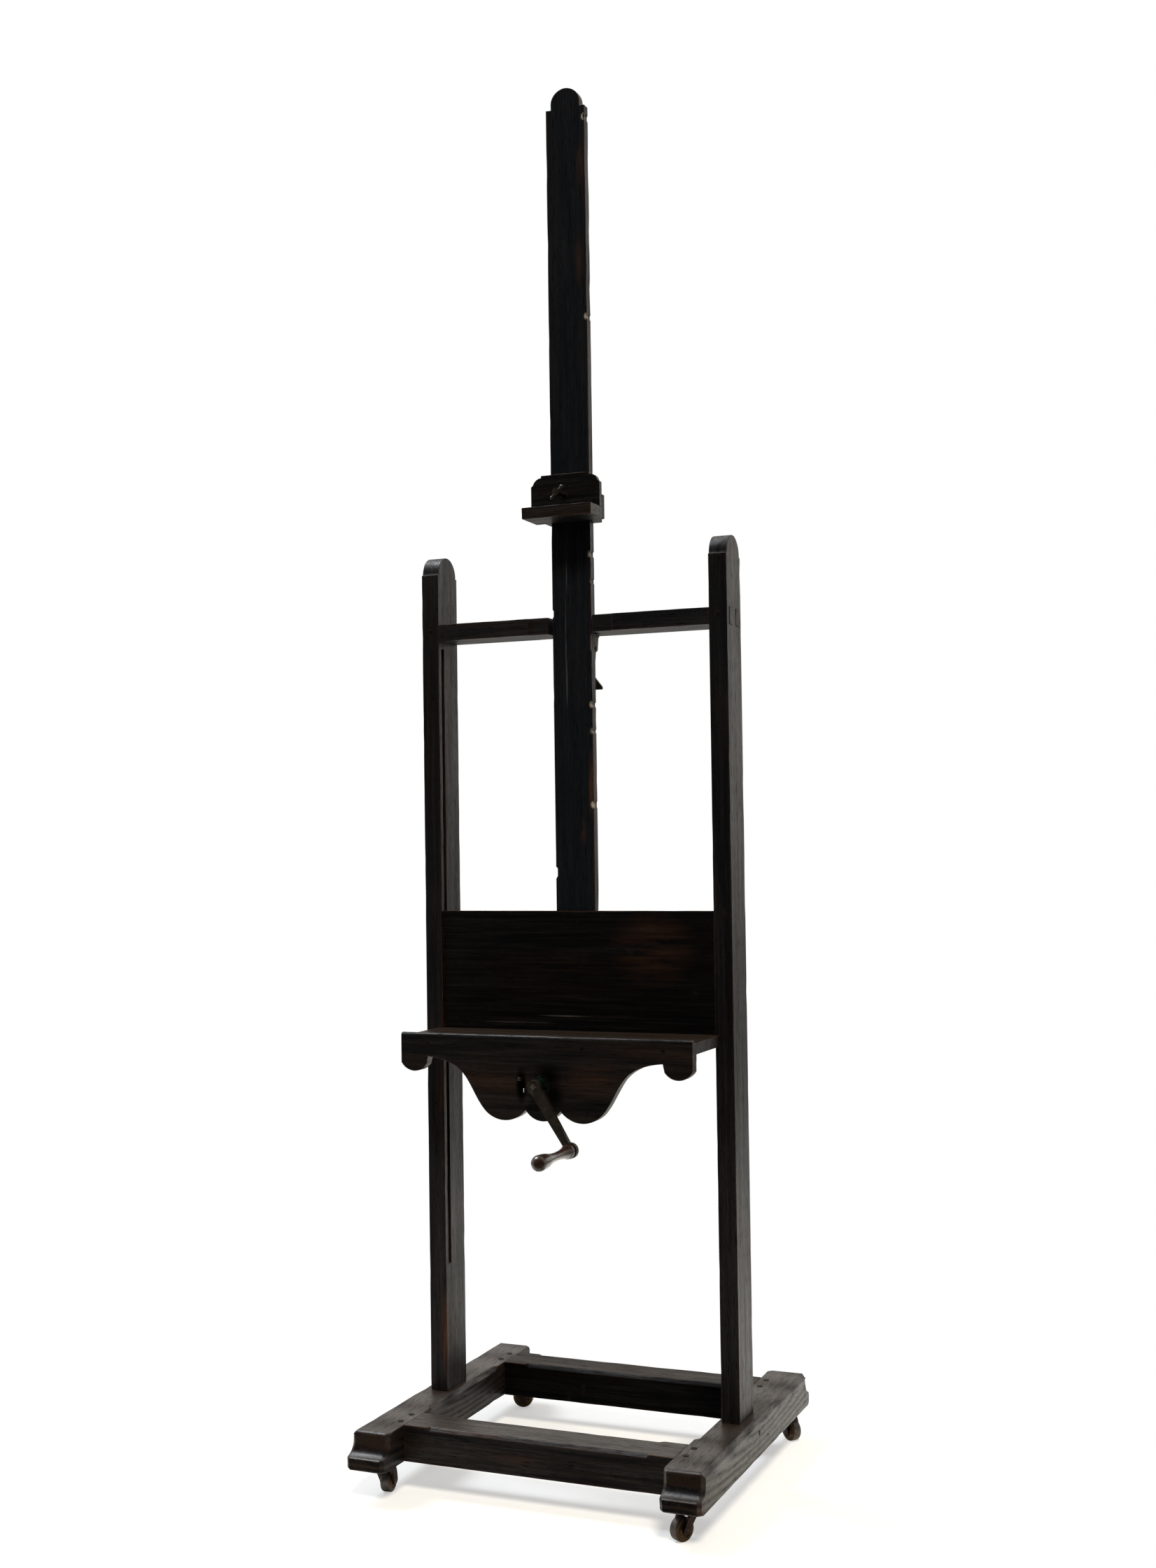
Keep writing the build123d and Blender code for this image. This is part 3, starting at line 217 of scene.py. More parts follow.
def ebonised_oak(name, axis, seed, tone=1.0, brown=0.35, wear=1.0, spots=(), arches=None,
                 gloss=1.0, front=0.55, top=1.0, shaded=(), base=NEUTRAL_BLACK):
    """Black-stained oak under old wax: open pores, streaky figure, rubbed brown edges.

    The grain runs along axis. tone lightens the stain, brown brings the umber out and wear
    rubs the edges. gloss scales the shine, and front and top scale it again on the faces
    that look that way. Each spot is a centre, radii, a strength and maybe a colour. Each
    shaded place is painted shade standing in for a shadow: a centre, radii and the depth
    at which it is fully dark. arches is the scale and the offset of the rings that a sawn
    face shows.
    """
    tree = Tree(name)
    shift = (seed * 1.7, seed * 2.3, seed * 0.9)

    def grain(stretch, across, detail, rough, distort=0.0):
        return tree.noise(along(axis, stretch, across), detail, rough, distort, shift)

    streak = grain(34, 170, 6, 0.72)
    ribbon = grain(22, 62, 5, 0.7)
    fibre = grain(34, 520, 4, 0.7)
    pores = tree.remap(grain(26, 950, 2, 0.6), 0.56, 0.64)

    # Stain, with the figure of the wood under it.
    black, umber, ash = (tuple(c * tone for c in color) for color in (base, UMBER, ASH))
    broad = grain(16, 26, 5, 0.62, 0.3)
    color = tree.mix(tree.remap(broad, 0.45, 0.72, 0.0, brown), black, umber)
    color = tree.mix(tree.remap(streak, 0.48, 0.70, 0.0, 0.8), color, ash)
    figure = tree.plus(tree.times(tree.remap(streak, 0.34, 0.66), 0.45),
                       tree.times(tree.remap(ribbon, 0.36, 0.64), 0.55))
    if arches:
        rings = tree.rings(*arches, distort=2.0, detail=4.0, detail_scale=1.2)
        color = tree.mix(tree.remap(rings, 0.55, 0.9, 0.0, 0.6), color, umber)
        figure = tree.plus(tree.times(figure, 0.35), tree.times(rings, 0.65))
    color = tree.mix(tree.times(pores, 0.8), color, PORE)

    # Wear: rubbed edges and spots, dust on top faces, small scuffs all over.
    breakup = tree.remap(grain(8, 60, 5, 0.65), 0.38, 0.60)
    worn = tree.times(tree.edges(2.6 * MM), breakup, wear, clamp=True)
    rubbed = tree.mix(tree.remap(fibre, 0.35, 0.65), RUBBED_DARK, RUBBED_LIGHT)
    color = tree.mix(worn, color, rubbed)
    if spots:
        patchy = tree.remap(grain(9, 70, 6, 0.7), 0.36, 0.64)
    for centre, radius, strength, *own_color in spots:
        blob = tree.times(tree.spot(centre, radius), patchy, strength, clamp=True)
        color = tree.mix(blob, color, own_color[0] if own_color else WORN_BROWN)
        worn = tree.math("MAXIMUM", worn, blob)
    dusty = tree.times(tree.remap(tree.facing(UP), 0.7, 0.95, 0.0, 0.7),
                       tree.remap(ribbon, 0.35, 0.6, 0.3, 1.0))
    color = tree.mix(dusty, color, DUST)
    scuffs = tree.remap(tree.noise(26, 9, 0.78, offset=shift), 0.60, 0.72)
    color = tree.mix(tree.times(scuffs, 0.25), color, SCUFF)

    # Shine: brighter along the figure, duller in pores, worn places and painted shade.
    shine = tree.times(tree.remap(figure, 0.1, 0.9, 0.14 * gloss, 0.74 * gloss),
                       tree.remap(pores, 0, 1, 1.0, 0.35),
                       tree.remap(tree.facing(FRONT), 0.6, 0.9, 1.0, front),
                       tree.remap(tree.facing(UP), 0.6, 0.9, 1.0, top))
    # Painted shade: each shaded place turns near black and loses its shine, as if in shadow.
    for centre, radius, full in shaded:
        painted_shade = tree.remap(tree.spot(centre, radius), 0.1, full)
        shine = tree.times(shine, tree.remap(painted_shade, 0, 1, 1.0, 0.02))
        color = tree.mix(painted_shade, color, PAINTED_SHADE_BLACK)
    shine = tree.times(shine, tree.remap(worn, 0, 1, 1.0, 0.7))
    cloud = tree.noise(4, 4, 0.6, offset=shift)
    rough = tree.plus(tree.remap(cloud, 0.3, 0.7, 0.36, 0.46), tree.times(pores, 0.2))
    rough = tree.plus(rough, tree.times(worn, 0.1))

    # Relief: fibres, sunk pores and figure over the slow waves of a hand plane.
    height = tree.plus(tree.times(fibre, 0.3), tree.times(pores, -0.8))
    height = tree.plus(height, tree.times(figure, 0.5))
    fine = tree.bump(height, 0.4, 0.5 * MM)
    planed = tree.bump(grain(6, 18, 4, 0.6), 0.25, 1.2 * MM, fine)
    return tree.finish(color, rough, planed, specular=shine)


def end_grain(name):
    """Peg tops: end grain under the same black stain."""
    tree = Tree(name)
    rings = tree.rings(300, (0, 0, 0), distort=4.0, detail=3.0, detail_scale=1.0)
    specks = tree.cells(1400)
    color = tree.mix(tree.remap(rings, 0.2, 0.8), (0.0020, 0.0017, 0.0016),
                     (0.0060, 0.0046, 0.0038))
    color = tree.mix(tree.remap(specks, 0.25, 0.1, 0.0, 0.6), color, (0.002, 0.002, 0.002))
    return tree.finish(color, tree.remap(rings, 0, 1, 0.5, 0.62),
                       tree.bump(specks, 0.4, 0.3 * MM), specular=0.12)


# ---------------------------------------------------------------- handle, metals and cord
RUST = (0.060, 0.026, 0.012)
BARE_IRON = (0.20, 0.175, 0.15)
BROWN_TARNISH = (0.07, 0.035, 0.018)


def polished_hardwood(name):
    """Turned handle: dark red-brown stain under a hand-rubbed gloss."""
    tree = Tree(name)
    streak = tree.noise(along("Y", 14, 150), 5, 0.6, 0.3)
    pores = tree.remap(tree.noise(along("Y", 20, 900), 2), 0.6, 0.68)
    color = tree.mix(tree.remap(streak, 0.35, 0.7), (0.0080, 0.0040, 0.0032),
                     (0.034, 0.0135, 0.0085))
    color = tree.mix(tree.times(pores, 0.6), color, (0.003, 0.002, 0.002))
    rubbed = tree.times(tree.edges(2.5 * MM), tree.remap(tree.noise(90, 4), 0.4, 0.65))
    color = tree.mix(tree.times(rubbed, 0.6), color, (0.080, 0.035, 0.018))
    smears = tree.noise(60, 5)
    return tree.finish(color, tree.remap(smears, 0.3, 0.7, 0.16, 0.32),
                       tree.bump(pores, 0.15, 0.2 * MM), coat=0.6)


def old_iron(name, tint, bare=0.5, rough=0.48):
    """Browned iron: hammered and pitted, bright where it is handled."""
    tree = Tree(name)
    blotch = tree.noise(55, 6, 0.65)
    rust = tree.remap(tree.noise(120, 6, 0.7), 0.55, 0.72)
    color = tree.mix(tree.remap(blotch, 0.35, 0.65), tint, tuple(c * 2.1 for c in tint))
    color = tree.mix(tree.times(rust, 0.55), color, RUST)
    handled = tree.times(tree.edges(1.6 * MM), tree.remap(blotch, 0.35, 0.6))
    color = tree.mix(tree.times(handled, bare), color, BARE_IRON)
    grit = tree.remap(tree.noise(1500, 3), 0.3, 0.7, rough - 0.06, rough + 0.12)
    pitted = tree.bump(tree.remap(tree.cells(900), 0.0, 0.35), 0.25, 0.25 * MM)
    return tree.finish(color, tree.math("SUBTRACT", grit, tree.times(handled, 0.12)),
                       tree.bump(blotch, 0.35, 0.8 * MM, pitted),
                       metallic=tree.remap(rust, 0, 1, 0.85, 0.35))


def dull_steel(name, tint):
    """Handled steel: screws, pins and shafts."""
    tree = Tree(name)
    scratch = tree.noise((2600, 300, 2600), 3)
    blotch = tree.noise(160, 5, 0.6)
    color = tree.mix(tree.remap(blotch, 0.35, 0.7), tint, tuple(c * 0.45 for c in tint))
    color = tree.mix(tree.remap(blotch, 0.62, 0.75, 0.0, 0.5), color, BROWN_TARNISH)
    return tree.finish(color, tree.remap(scratch, 0.3, 0.7, 0.28, 0.48),
                       tree.bump(scratch, 0.12, 0.1 * MM), metallic=0.92)


def wheel_iron(name, centre, axle, radius):
    """Caster wheel: grey polished tread, golden-brown ringed faces."""
    tree = Tree(name)
    blotch = tree.noise(110, 6, 0.65)
    from_centre = tree.vector("SUBTRACT", tree.coords, centre)
    reach = tree.length(tree.vector("CROSS_PRODUCT", from_centre, axle))
    tread = tree.remap(reach, radius - 1.6 * MM, radius - 0.6 * MM)
    turned = tree.math("SINE", tree.times(reach, 2 * math.pi / (2.6 * MM)))
    gold = tree.mix(tree.remap(blotch, 0.35, 0.65), (0.060, 0.033, 0.014),
                    (0.150, 0.088, 0.036))
    gold = tree.mix(tree.remap(turned, -1, 0.4, 0.75, 0.0), gold, (0.020, 0.012, 0.008))
    grey = tree.mix(tree.remap(blotch, 0.3, 0.7), (0.050, 0.042, 0.038),
                    (0.130, 0.115, 0.105))
    return tree.finish(tree.mix(tread, gold, grey), tree.remap(blotch, 0.3, 0.7, 0.34, 0.52),
                       tree.bump(turned, 0.25, 0.3 * MM), metallic=0.75)


def hemp(name):
    """Old cord, grey-brown with hairy fibres."""
    tree = Tree(name)
    fibre = tree.noise((1800, 1800, 600), 5, 0.7)
    dirt = tree.noise((60, 60, 18), 4)
    color = tree.mix(tree.remap(fibre, 0.3, 0.7), (0.085, 0.060, 0.038), (0.25, 0.19, 0.125))
    color = tree.mix(tree.remap(dirt, 0.45, 0.7, 0.0, 0.55), color, (0.045, 0.034, 0.025))
    return tree.finish(color, 0.85, tree.bump(fibre, 0.6, 0.3 * MM))


# ---------------------------------------------------------------- mesh helpers
SAME_POINT = 0.01 * MM
SHARP = 25      # degrees between faces: a flatter edge is part of a curve and stays


def mesh_object(name, bm):
    """New object in the scene from a bmesh, which is used up."""
    mesh = bpy.data.meshes.new(name)
    bm.normal_update()
    bm.to_mesh(mesh)
    bm.free()
    obj = bpy.data.objects.new(name, mesh)
    bpy.context.scene.collection.objects.link(obj)
    return obj


def paint(obj, material):
    obj.data.materials.clear()
    obj.data.materials.append(material)


def smooth(obj):
    for polygon in obj.data.polygons:
        polygon.use_smooth = True


def show(obj, material, body, angle=38, weighted=True):
    """Give a piece its material and shading, and put it on its body."""
    paint(obj, material)
    smooth(obj)
    obj.data.set_sharp_from_angle(angle=math.radians(angle))
    if weighted:
        obj.modifiers.new("weighted", "WEIGHTED_NORMAL").keep_sharp = True
    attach(obj, body)


def clean_copy(node):
    """The CAD node as a bmesh of large flat faces."""
    bm = bmesh.new()
    bm.from_mesh(NODES[node].data)
    bmesh.ops.remove_doubles(bm, verts=bm.verts, dist=SAME_POINT)
    bmesh.ops.dissolve_limit(bm, angle_limit=math.radians(0.7), verts=bm.verts, edges=bm.edges,
                             use_dissolve_boundaries=False)
    bmesh.ops.dissolve_degenerate(bm, dist=2 * SAME_POINT, edges=bm.edges)
    return bm


def take_solid(left):
    """Take the points of one connected solid out of a set of vertices."""
    found, waiting = [], [left.pop()]
    while waiting:
        vertex = waiting.pop()
        found.append(vertex.co.copy())
        for edge in vertex.link_edges:
            other = edge.other_vert(vertex)
            if other in left:
                left.remove(other)
                waiting.append(other)
    return found


def solid_boxes(nodes, grow):
    """Box of each separate solid in the named CAD nodes, grown on all sides."""
    boxes = []
    for node in nodes:
        bm = bmesh.new()
        bm.from_mesh(NODES[node].data)
        bmesh.ops.remove_doubles(bm, verts=bm.verts, dist=SAME_POINT)
        left = set(bm.verts)
        while left:
            points = take_solid(left)
            boxes.append((Vector(min(p[i] for p in points) - grow for i in range(3)),
                          Vector(max(p[i] for p in points) + grow for i in range(3))))
        bm.free()
    return boxes


FASTENERS = solid_boxes(
    ("base_pegs", "post_pegs", "rail_pegs", "pawl_bracket_screws", "caster_screws",
     "mast_screws", "shelf_screws", "apron_screws", "rack_screws", "front_bearing_screws",
     "rear_bearing_screws", "holder_screws", "crank_pawl_stud"), 1.2 * MM)


def at_fastener(point):
    return any(all(low[i] <= point[i] <= high[i] for i in range(3))
               for low, high in FASTENERS)


def sharp_edges(bm):
    """Outer corners of a shape."""
    return [edge for edge in bm.edges
            if len(edge.link_faces) == 2 and edge.is_convex
            and edge.calc_face_angle(0) >= math.radians(SHARP)]


def ease(bm, edges, width, segments, clamp):
    """Round the given edges off, and return the new vertices."""
    made = bmesh.ops.bevel(bm, geom=edges, offset=width, offset_type="OFFSET",
                           segments=segments, profile=0.5, affect="EDGES", clamp_overlap=clamp)
    return [vertex for vertex in set(made["verts"]) if vertex.is_valid]


def soften(node, material, edge, segments=2):
    """Metal or small wooden piece with eased edges, made from its CAD solid."""
    bm = clean_copy(node)
    ease(bm, sharp_edges(bm), edge, segments, clamp=True)
    obj = mesh_object(node + "_eased", bm)
    show(obj, material, BODY_OF[node])
    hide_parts(node)


# ---------------------------------------------------------------- boards
BOARD_STEP = 22 * MM                       # spacing of the cuts that let an edge wander
CUT_MARGIN = 10 * MM                       # a regular cut keeps this far from a chip's cuts
CHIP_CUTS = (-1, -0.55, 0.1, 0.7, 1)       # cuts across a chip, as shares of its half length
CHIP_REACH = 6 * MM                        # a chip moves the points this close to its side
CHIP_FRONT = 4 * MM                        # and moves them fully this close to the front
KNOCK_SCALE = 46.0                         # dents per metre; they are longer along the grain


def cut_across(bm, axis, place):
    """Cut every face with one plane square to an axis."""
    normal, point = Vector((0, 0, 0)), Vector((0, 0, 0))
    normal["XYZ".index(axis)] = 1
    point["XYZ".index(axis)] = place
    geometry = bm.verts[:] + bm.edges[:] + bm.faces[:]
    bmesh.ops.bisect_plane(bm, geom=geometry, dist=2 * SAME_POINT, plane_co=point,
                           plane_no=normal)


def slice_along(bm, axis, extra):
    """Cut every face across an axis at a regular spacing and at the extra places.

    A regular cut close to an extra one is left out, so no thin strip can tilt and catch light.
    """
    reaches = [vertex.co["XYZ".index(axis)] for vertex in bm.verts]
    low, high = min(reaches), max(reaches)
    count = int((high - low) / BOARD_STEP)
    for k in range(1, count):
        place = low + (high - low) * k / count
        if all(abs(place - other) > CUT_MARGIN for other in extra):
            cut_across(bm, axis, place)
    for place in extra:
        cut_across(bm, axis, place)


def knock(point, axis, seed):
    """How hard an edge was knocked at a point, 0 to 1: shallow dents and a few deep ones."""
    place = point * KNOCK_SCALE + Vector((seed * 3.1, seed * 1.3, seed * 2.2))
    place["XYZ".index(axis)] *= 0.55
    dents = max(0.0, noise.noise(place) - 0.12) * 1.6
    dents += max(0.0, noise.noise(place * 3.1) - 0.35) * 1.2
    return min(dents, 1.0)


def board(node, axis, seed, edge=1.0 * MM, nick=0.8 * MM, chips=(), **look):
    """Oak board with softened, knocked edges, made from its CAD solid.

    nick is the depth of the hardest knock. Each chip is a bite out of one side of an upright
    board, deepest at the front: its side (-1 left, 1 right), the height of its middle above
    the foot of the board, its half length and its depth. The rest is for ebonised_oak.
    """
    material = ebonised_oak("oak_" + node, axis, seed, **look)
    low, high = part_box(node)
    chips = [(side, low.z + height, reach, depth) for side, height, reach, depth in chips]
    bm = clean_copy(node)
    slice_along(bm, axis, [place + k * reach for side, place, reach, depth in chips
                           for k in CHIP_CUTS])
    corners = [e for e in sharp_edges(bm) if not all(at_fastener(v.co) for v in e.verts)]
    rounded = ease(bm, corners, edge, segments=2, clamp=False)
    bm.normal_update()
    for vertex in rounded:
        near_chip = any(abs(vertex.co.z - place) < reach * 1.3
                        for side, place, reach, depth in chips)
        if not near_chip:
            vertex.co -= vertex.normal * knock(vertex.co, axis, seed) * nick
        for side, place, reach, depth in chips:
            corner = high.x if side > 0 else low.x
            if abs(vertex.co.x - corner) < CHIP_REACH and abs(vertex.co.z - place) < reach * 0.9:
                at_front = vertex.co.y < low.y + CHIP_FRONT
                vertex.co.x -= side * depth * (1.0 if at_front else 0.7)
    obj = mesh_object(node + "_wood", bm)
    show(obj, material, BODY_OF[node])
    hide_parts(node)


def on_front(node, side, across, height):
    """Point on the front of a node: metres across from its left edge (-1), middle (0) or
    right edge (1), and metres up from its foot."""
    low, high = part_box(node)
    x = {-1: low.x, 0: (low.x + high.x) / 2, 1: high.x}[side]
    return (x + across, low.y, low.z + height)


def base_boards():
    """Feet and cross rails. The feet show sawn arches along their sides."""
    arches = ((7, 3.2, 30), (0.3, -0.2, -3.4))
    toe_spots = (
        (on_front("right_foot", 1, 0, 0.042), (0.010, 0.012, 0.045), 1.1),
        (on_front("right_foot", 1, 0, 0.008), (0.014, 0.020, 0.012), 1.0),
    )
    rail_spots = (
        (on_front("front_cross_rail", 0, -0.120, 0.064), (0.110, 0.012, 0.009), 1.2),
        (on_front("front_cross_rail", 0, 0.060, 0.064), (0.120, 0.012, 0.009), 0.9),
        (on_front("front_cross_rail", 0, -0.040, 0.027), (0.060, 0.010, 0.012), 0.35),
    )
    board("left_foot", "Y", 1, nick=1.2 * MM, tone=1.2, brown=0.6, arches=arches, gloss=0.65,
          front=0.2, top=1.75)
    board("right_foot", "Y", 2, nick=1.2 * MM, tone=1.2, brown=0.6, arches=arches,
          spots=toe_spots, gloss=2.0, front=0.05, top=0.48)
    board("front_cross_rail", "X", 3, tone=1.1, brown=0.8, wear=1.5, spots=rail_spots,
          gloss=0.8, front=0.42, top=1.05)
    board("rear_cross_rail", "X", 4, tone=0.4, brown=0.3, gloss=0.4, front=0.15, top=0.5)


def frame_boards():
    """Posts and top rail. The left post is rubbed brown low down and pale near its head."""
    post_spots = (
        (on_front("left_post", 1, 0, 0.604), (0.020, 0.03, 0.160), 1.0),
        (on_front("left_post", 1, 0, 0.159), (0.020, 0.04, 0.090), 1.0),
        (on_front("left_post", -1, 0, 1.624), (0.060, 0.05, 0.300), 0.9, BLOOM),
    )
    board("left_post", "Z", 5, brown=0.4, spots=post_spots, gloss=0.85, base=POST_BLACK)
    board("right_post", "Z", 6, brown=0.3, wear=0.9, gloss=1.15, front=0.7, base=SIDE_BLACK)
    board("top_rail", "X", 7, tone=1.4, brown=0.6, wear=0.8, front=0.8, base=RAIL_BLACK)


def mast_board():
    """Mast with chipped corners, some of them down to bare oak, and a few long scratches."""
    bare_heights = (1.708, 1.338, 0.900, 0.624, 0.5755, 0.441)
    scratches = ((-0.0095, 0.890, 0.07), (-0.0125, 0.730, 0.12), (-0.0110, 0.670, 0.05))
    spots = [
        (on_front("mast", 0, 0.028, 1.620), (0.010, 0.02, 0.050), 0.5),
        (on_front("mast", 0, 0.025, 1.445), (0.012, 0.02, 0.060), 0.5),
        (on_front("mast", 0, 0.034, 0.480), (0.007, 0.02, 0.075), 1.3),
        (on_front("mast", 0, 0.017, 0.392), (0.008, 0.02, 0.030), 1.0),
    ]
    for height in bare_heights:
        spots.append((on_front("mast", 1, -2 * MM, height), (0.0050, 0.012, 0.0075), 2.5,
                      BARE_OAK))
    for across, height, reach in scratches:
        spots.append((on_front("mast", 0, across, height), (0.0016, 0.01, reach), 1.0,
                      SCRATCH))
    chips = (
        (1, 1.708, 0.006, 2.2 * MM), (1, 1.338, 0.005, 2.0 * MM), (1, 0.900, 0.006, 2.4 * MM),
        (1, 0.8506, 0.005, 1.6 * MM), (1, 0.737, 0.018, 2.2 * MM), (1, 0.624, 0.005, 2.4 * MM),
        (1, 0.5755, 0.004, 1.8 * MM), (1, 0.441, 0.007, 1.6 * MM),
        (-1, 0.794, 0.008, 2.0 * MM), (-1, 0.318, 0.011, 3.2 * MM),
    )
    board("mast", "Z", 8, edge=0.8 * MM, nick=1.4 * MM, chips=chips, brown=0.25, wear=1.7,
          spots=spots, gloss=0.8, base=BLUE_BLACK)


def carriage_boards():
    """Panel, shelf, apron and webs, with painted shade on the apron by the crank and in its
    slot.
    """
    panel_spots = (
        (on_front("panel", 0, -0.020, 0.1585), (0.060, 0.05, 0.0018), 0.9, SCRATCH),
        (on_front("panel", 0, -0.090, 0.1450), (0.130, 0.05, 0.0016), 0.6, SCRATCH),
        (on_front("panel", 0, 0.150, 0.2820), (0.090, 0.05, 0.075), 0.45),
        (on_front("panel", 0, -0.060, 0.2320), (0.160, 0.05, 0.060), 0.08),
    )
    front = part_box("apron")[0].y
    middle = sum(corner.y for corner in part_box("apron")) / 2
    hub_z = sum(corner.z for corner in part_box("crank_shaft")) / 2
    pin_low, pin_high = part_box("crank_pawl_pin")
    # Middle of the painted shade inside the pawl slot.
    slot = ((pin_low.x + pin_high.x) / 2, middle + 3 * MM, pin_low.z - 9 * MM)
    apron_spots = (
        ((0.097, front, hub_z + 0.015), (0.055, 0.05, 0.045), 0.50),
        ((-0.100, front, hub_z + 0.008), (0.090, 0.05, 0.060), 0.20),
        ((0.190, front, hub_z + 0.053), (0.110, 0.05, 0.030), 0.22),
    )
    # Painted shade: the dark inside of the pawl slot, and the crank arm's shadow and dark
    # reflection beside its hub.
    apron_shade = (
        (slot, (0.016, 0.024, 0.050), 0.4),
        ((0.010, front, hub_z + 0.014), (0.032, 0.014, 0.030), 0.9),
        ((0.021, front, hub_z - 0.019), (0.026, 0.014, 0.034), 0.9),
    )
    board("panel", "X", 9, edge=0.5 * MM, tone=0.6, brown=0.15, spots=panel_spots, gloss=0.6)
    board("shelf", "X", 10, tone=1.2, brown=1.0, gloss=1.2, top=0.10)
    board("apron", "X", 11, edge=0.6 * MM, tone=1.1, brown=0.9, spots=apron_spots, top=0.4,
          shaded=apron_shade)
    board("shelf_brackets", "Y", 12, tone=1.2)


def holder_boards():
    """Canvas holder on the mast."""
    board("holder_plate", "X", 13, edge=0.6 * MM, brown=0.5, wear=0.8)
    board("holder_lip", "X", 14, tone=1.2, brown=0.8, wear=1.1, gloss=1.3)
    board("holder_saddle", "X", 15)
    board("holder_back", "X", 16)


# ---------------------------------------------------------------- pegs and metal
def pegs_and_metal():
    """Pegs, winding gear, catches, screws and casters, each in its own metal."""
    peg_wood = end_grain("peg_end_grain")
    iron = old_iron("browned_iron", (0.034, 0.027, 0.021))
    green_iron = old_iron("painted_collar", (0.005, 0.013, 0.007), 0.4, 0.42)
    steel = dull_steel("dull_steel", (0.16, 0.145, 0.13))
    worn_steel = dull_steel("worn_square", (0.30, 0.27, 0.24))
    dark_steel = dull_steel("dark_screws", (0.030, 0.026, 0.023))
    bright_steel = dull_steel("bright_pin", (0.10, 0.09, 0.08))
    caster_iron = old_iron("caster_iron", (0.022, 0.013, 0.012), 0.5, 0.40)
    grip_wood = polished_hardwood("polished_hardwood")

    for node in ("base_pegs", "post_pegs", "rail_pegs"):
        soften(node, peg_wood, 0.5 * MM)
    for node in ("pawl_bracket", "mast_pawl", "rear_bearing", "ratchet_wheel", "cord_drum",
                 "crank_pawl", "caster_plates"):
        soften(node, iron, 0.4 * MM)
    soften("rack_strip", iron, 0.3 * MM)
    soften("front_bearing", green_iron, 0.7 * MM)
    soften("crank_arm", iron, 1.6 * MM, segments=3)
    soften("holder_screws", dark_steel, 0.2 * MM)
    for corner in ("fl", "fr", "rl", "rr"):
        soften("caster_fork_" + corner, caster_iron, 0.9 * MM)
        soften("caster_axle_" + corner, caster_iron, 0.6 * MM)
        low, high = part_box("caster_wheel_" + corner)
        axle = Vector(JOINTS["wheel_spin_" + corner]["axis"])
        wheel = wheel_iron("wheel_" + corner, (low + high) / 2, axle, (high.z - low.z) / 2)
        paint(NODES["caster_wheel_" + corner], wheel)
    soften("crank_shaft", worn_steel, 0.5 * MM)
    soften("thumbscrew", iron, 0.5 * MM)
    for node in ("pawl_bracket_screws", "caster_screws", "shelf_screws", "apron_screws",
                 "rack_screws", "front_bearing_screws", "rear_bearing_screws",
                 "pawl_hinge_pin", "crank_pawl_stud", "grip_spindle", "mast_screws"):
        paint(NODES[node], dark_steel)
    for node, material in (("tommy_bar", steel), ("crank_pawl_pin", bright_steel),
                           ("cord_hook", iron), ("crank_grip", grip_wood)):
        paint(NODES[node], material)


# ---------------------------------------------------------------- lifting cord
STRANDS = 3
STRAND_RADIUS = 0.50      # of the cord's radius
STRAND_OFFSET = 0.52      # from the middle of the cord, of its radius
LAY = 14 * MM             # length in which a strand goes once round the cord
CORD_STEP = 1.6 * MM
WOUND_TURNS = 4.5
FLANGE_MARGIN = 5.2 * MM  # the last turn stays this far inside the drum's end


def strand(points, radius, sides=8):
    """Tube along a list of points, as a bmesh."""
    bm = bmesh.new()
    rings = []
    side = Vector((1, 0, 0))
    for i, point in enumerate(points):
        ahead = points[min(i + 1, len(points) - 1)] - points[max(i - 1, 0)]
        ahead.normalize()
        side = (side - ahead * side.dot(ahead)).normalized()
        other = ahead.cross(side)
        angles = [2 * math.pi * k / sides for k in range(sides)]
        rings.append([bm.verts.new(point + radius * (math.cos(a) * side + math.sin(a) * other))
                      for a in angles])
    for first, second in zip(rings, rings[1:]):
        for k in range(sides):
            j = (k + 1) % sides
            bm.faces.new((first[k], first[j], second[j], second[k]))
    bm.faces.new(rings[0][::-1])
    bm.faces.new(rings[-1])
    return bm


def rope(name, length, place, radius):
    """Laid cord: strands twisted round a path.

    place gives the path's point and two directions square to it, from the length run.
    """
    laid = bmesh.new()
    count = max(8, int(length / CORD_STEP))
    for s in range(STRANDS):
        points = []
        for i in range(count + 1):
            run = length * i / count
            point, side, up = place(run)
            a = 2 * math.pi * (run / LAY + s / STRANDS)
            outward = side * math.cos(a) + up * math.sin(a)
            points.append(point + outward * radius * STRAND_OFFSET)
        part = strand(points, radius * STRAND_RADIUS)
        mesh = bpy.data.meshes.new("strand")
        part.to_mesh(mesh)
        part.free()
        laid.from_mesh(mesh)
        bpy.data.meshes.remove(mesh)
    return mesh_object(name, laid)


def lifting_cord():
    """The fall from the eye to the drum, and the turns on the drum."""
    look = hemp("hemp_cord")
    paint(NODES["lifting_cord"], look)
    low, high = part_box("lifting_cord")
    drum_low, drum_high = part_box("cord_drum")
    drum_z = (drum_low.z + drum_high.z) / 2
    x, y = (low.x + high.x) / 2, (low.y + high.y) / 2
    radius = (high.x - low.x) / 2
    turn_radius = abs(x)
    turn_length = 2 * math.pi * turn_radius

    def straight(run):
        return Vector((x, y, high.z - run)), Vector((1, 0, 0)), Vector((0, 1, 0))

    def wound(run):
        turns = run / turn_length
        a = math.pi - 2 * math.pi * turns
        outward = Vector((math.cos(a), 0, math.sin(a)))
        across = y - 2 * MM + turns * (2 * radius + 0.1 * MM)
        centre = Vector((0, min(across, drum_high.y - FLANGE_MARGIN), drum_z))
        return centre + outward * turn_radius, outward, Vector((0, 1, 0))

    fall = rope("lifting_cord_laid", high.z - low.z, straight, radius)
    paint(fall, look)
    smooth(fall)
    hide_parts("lifting_cord")
    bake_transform(fall)
    coil = rope("lifting_cord_wound", WOUND_TURNS * turn_length, wound, radius)
    show(coil, look, "crank", angle=80, weighted=False)


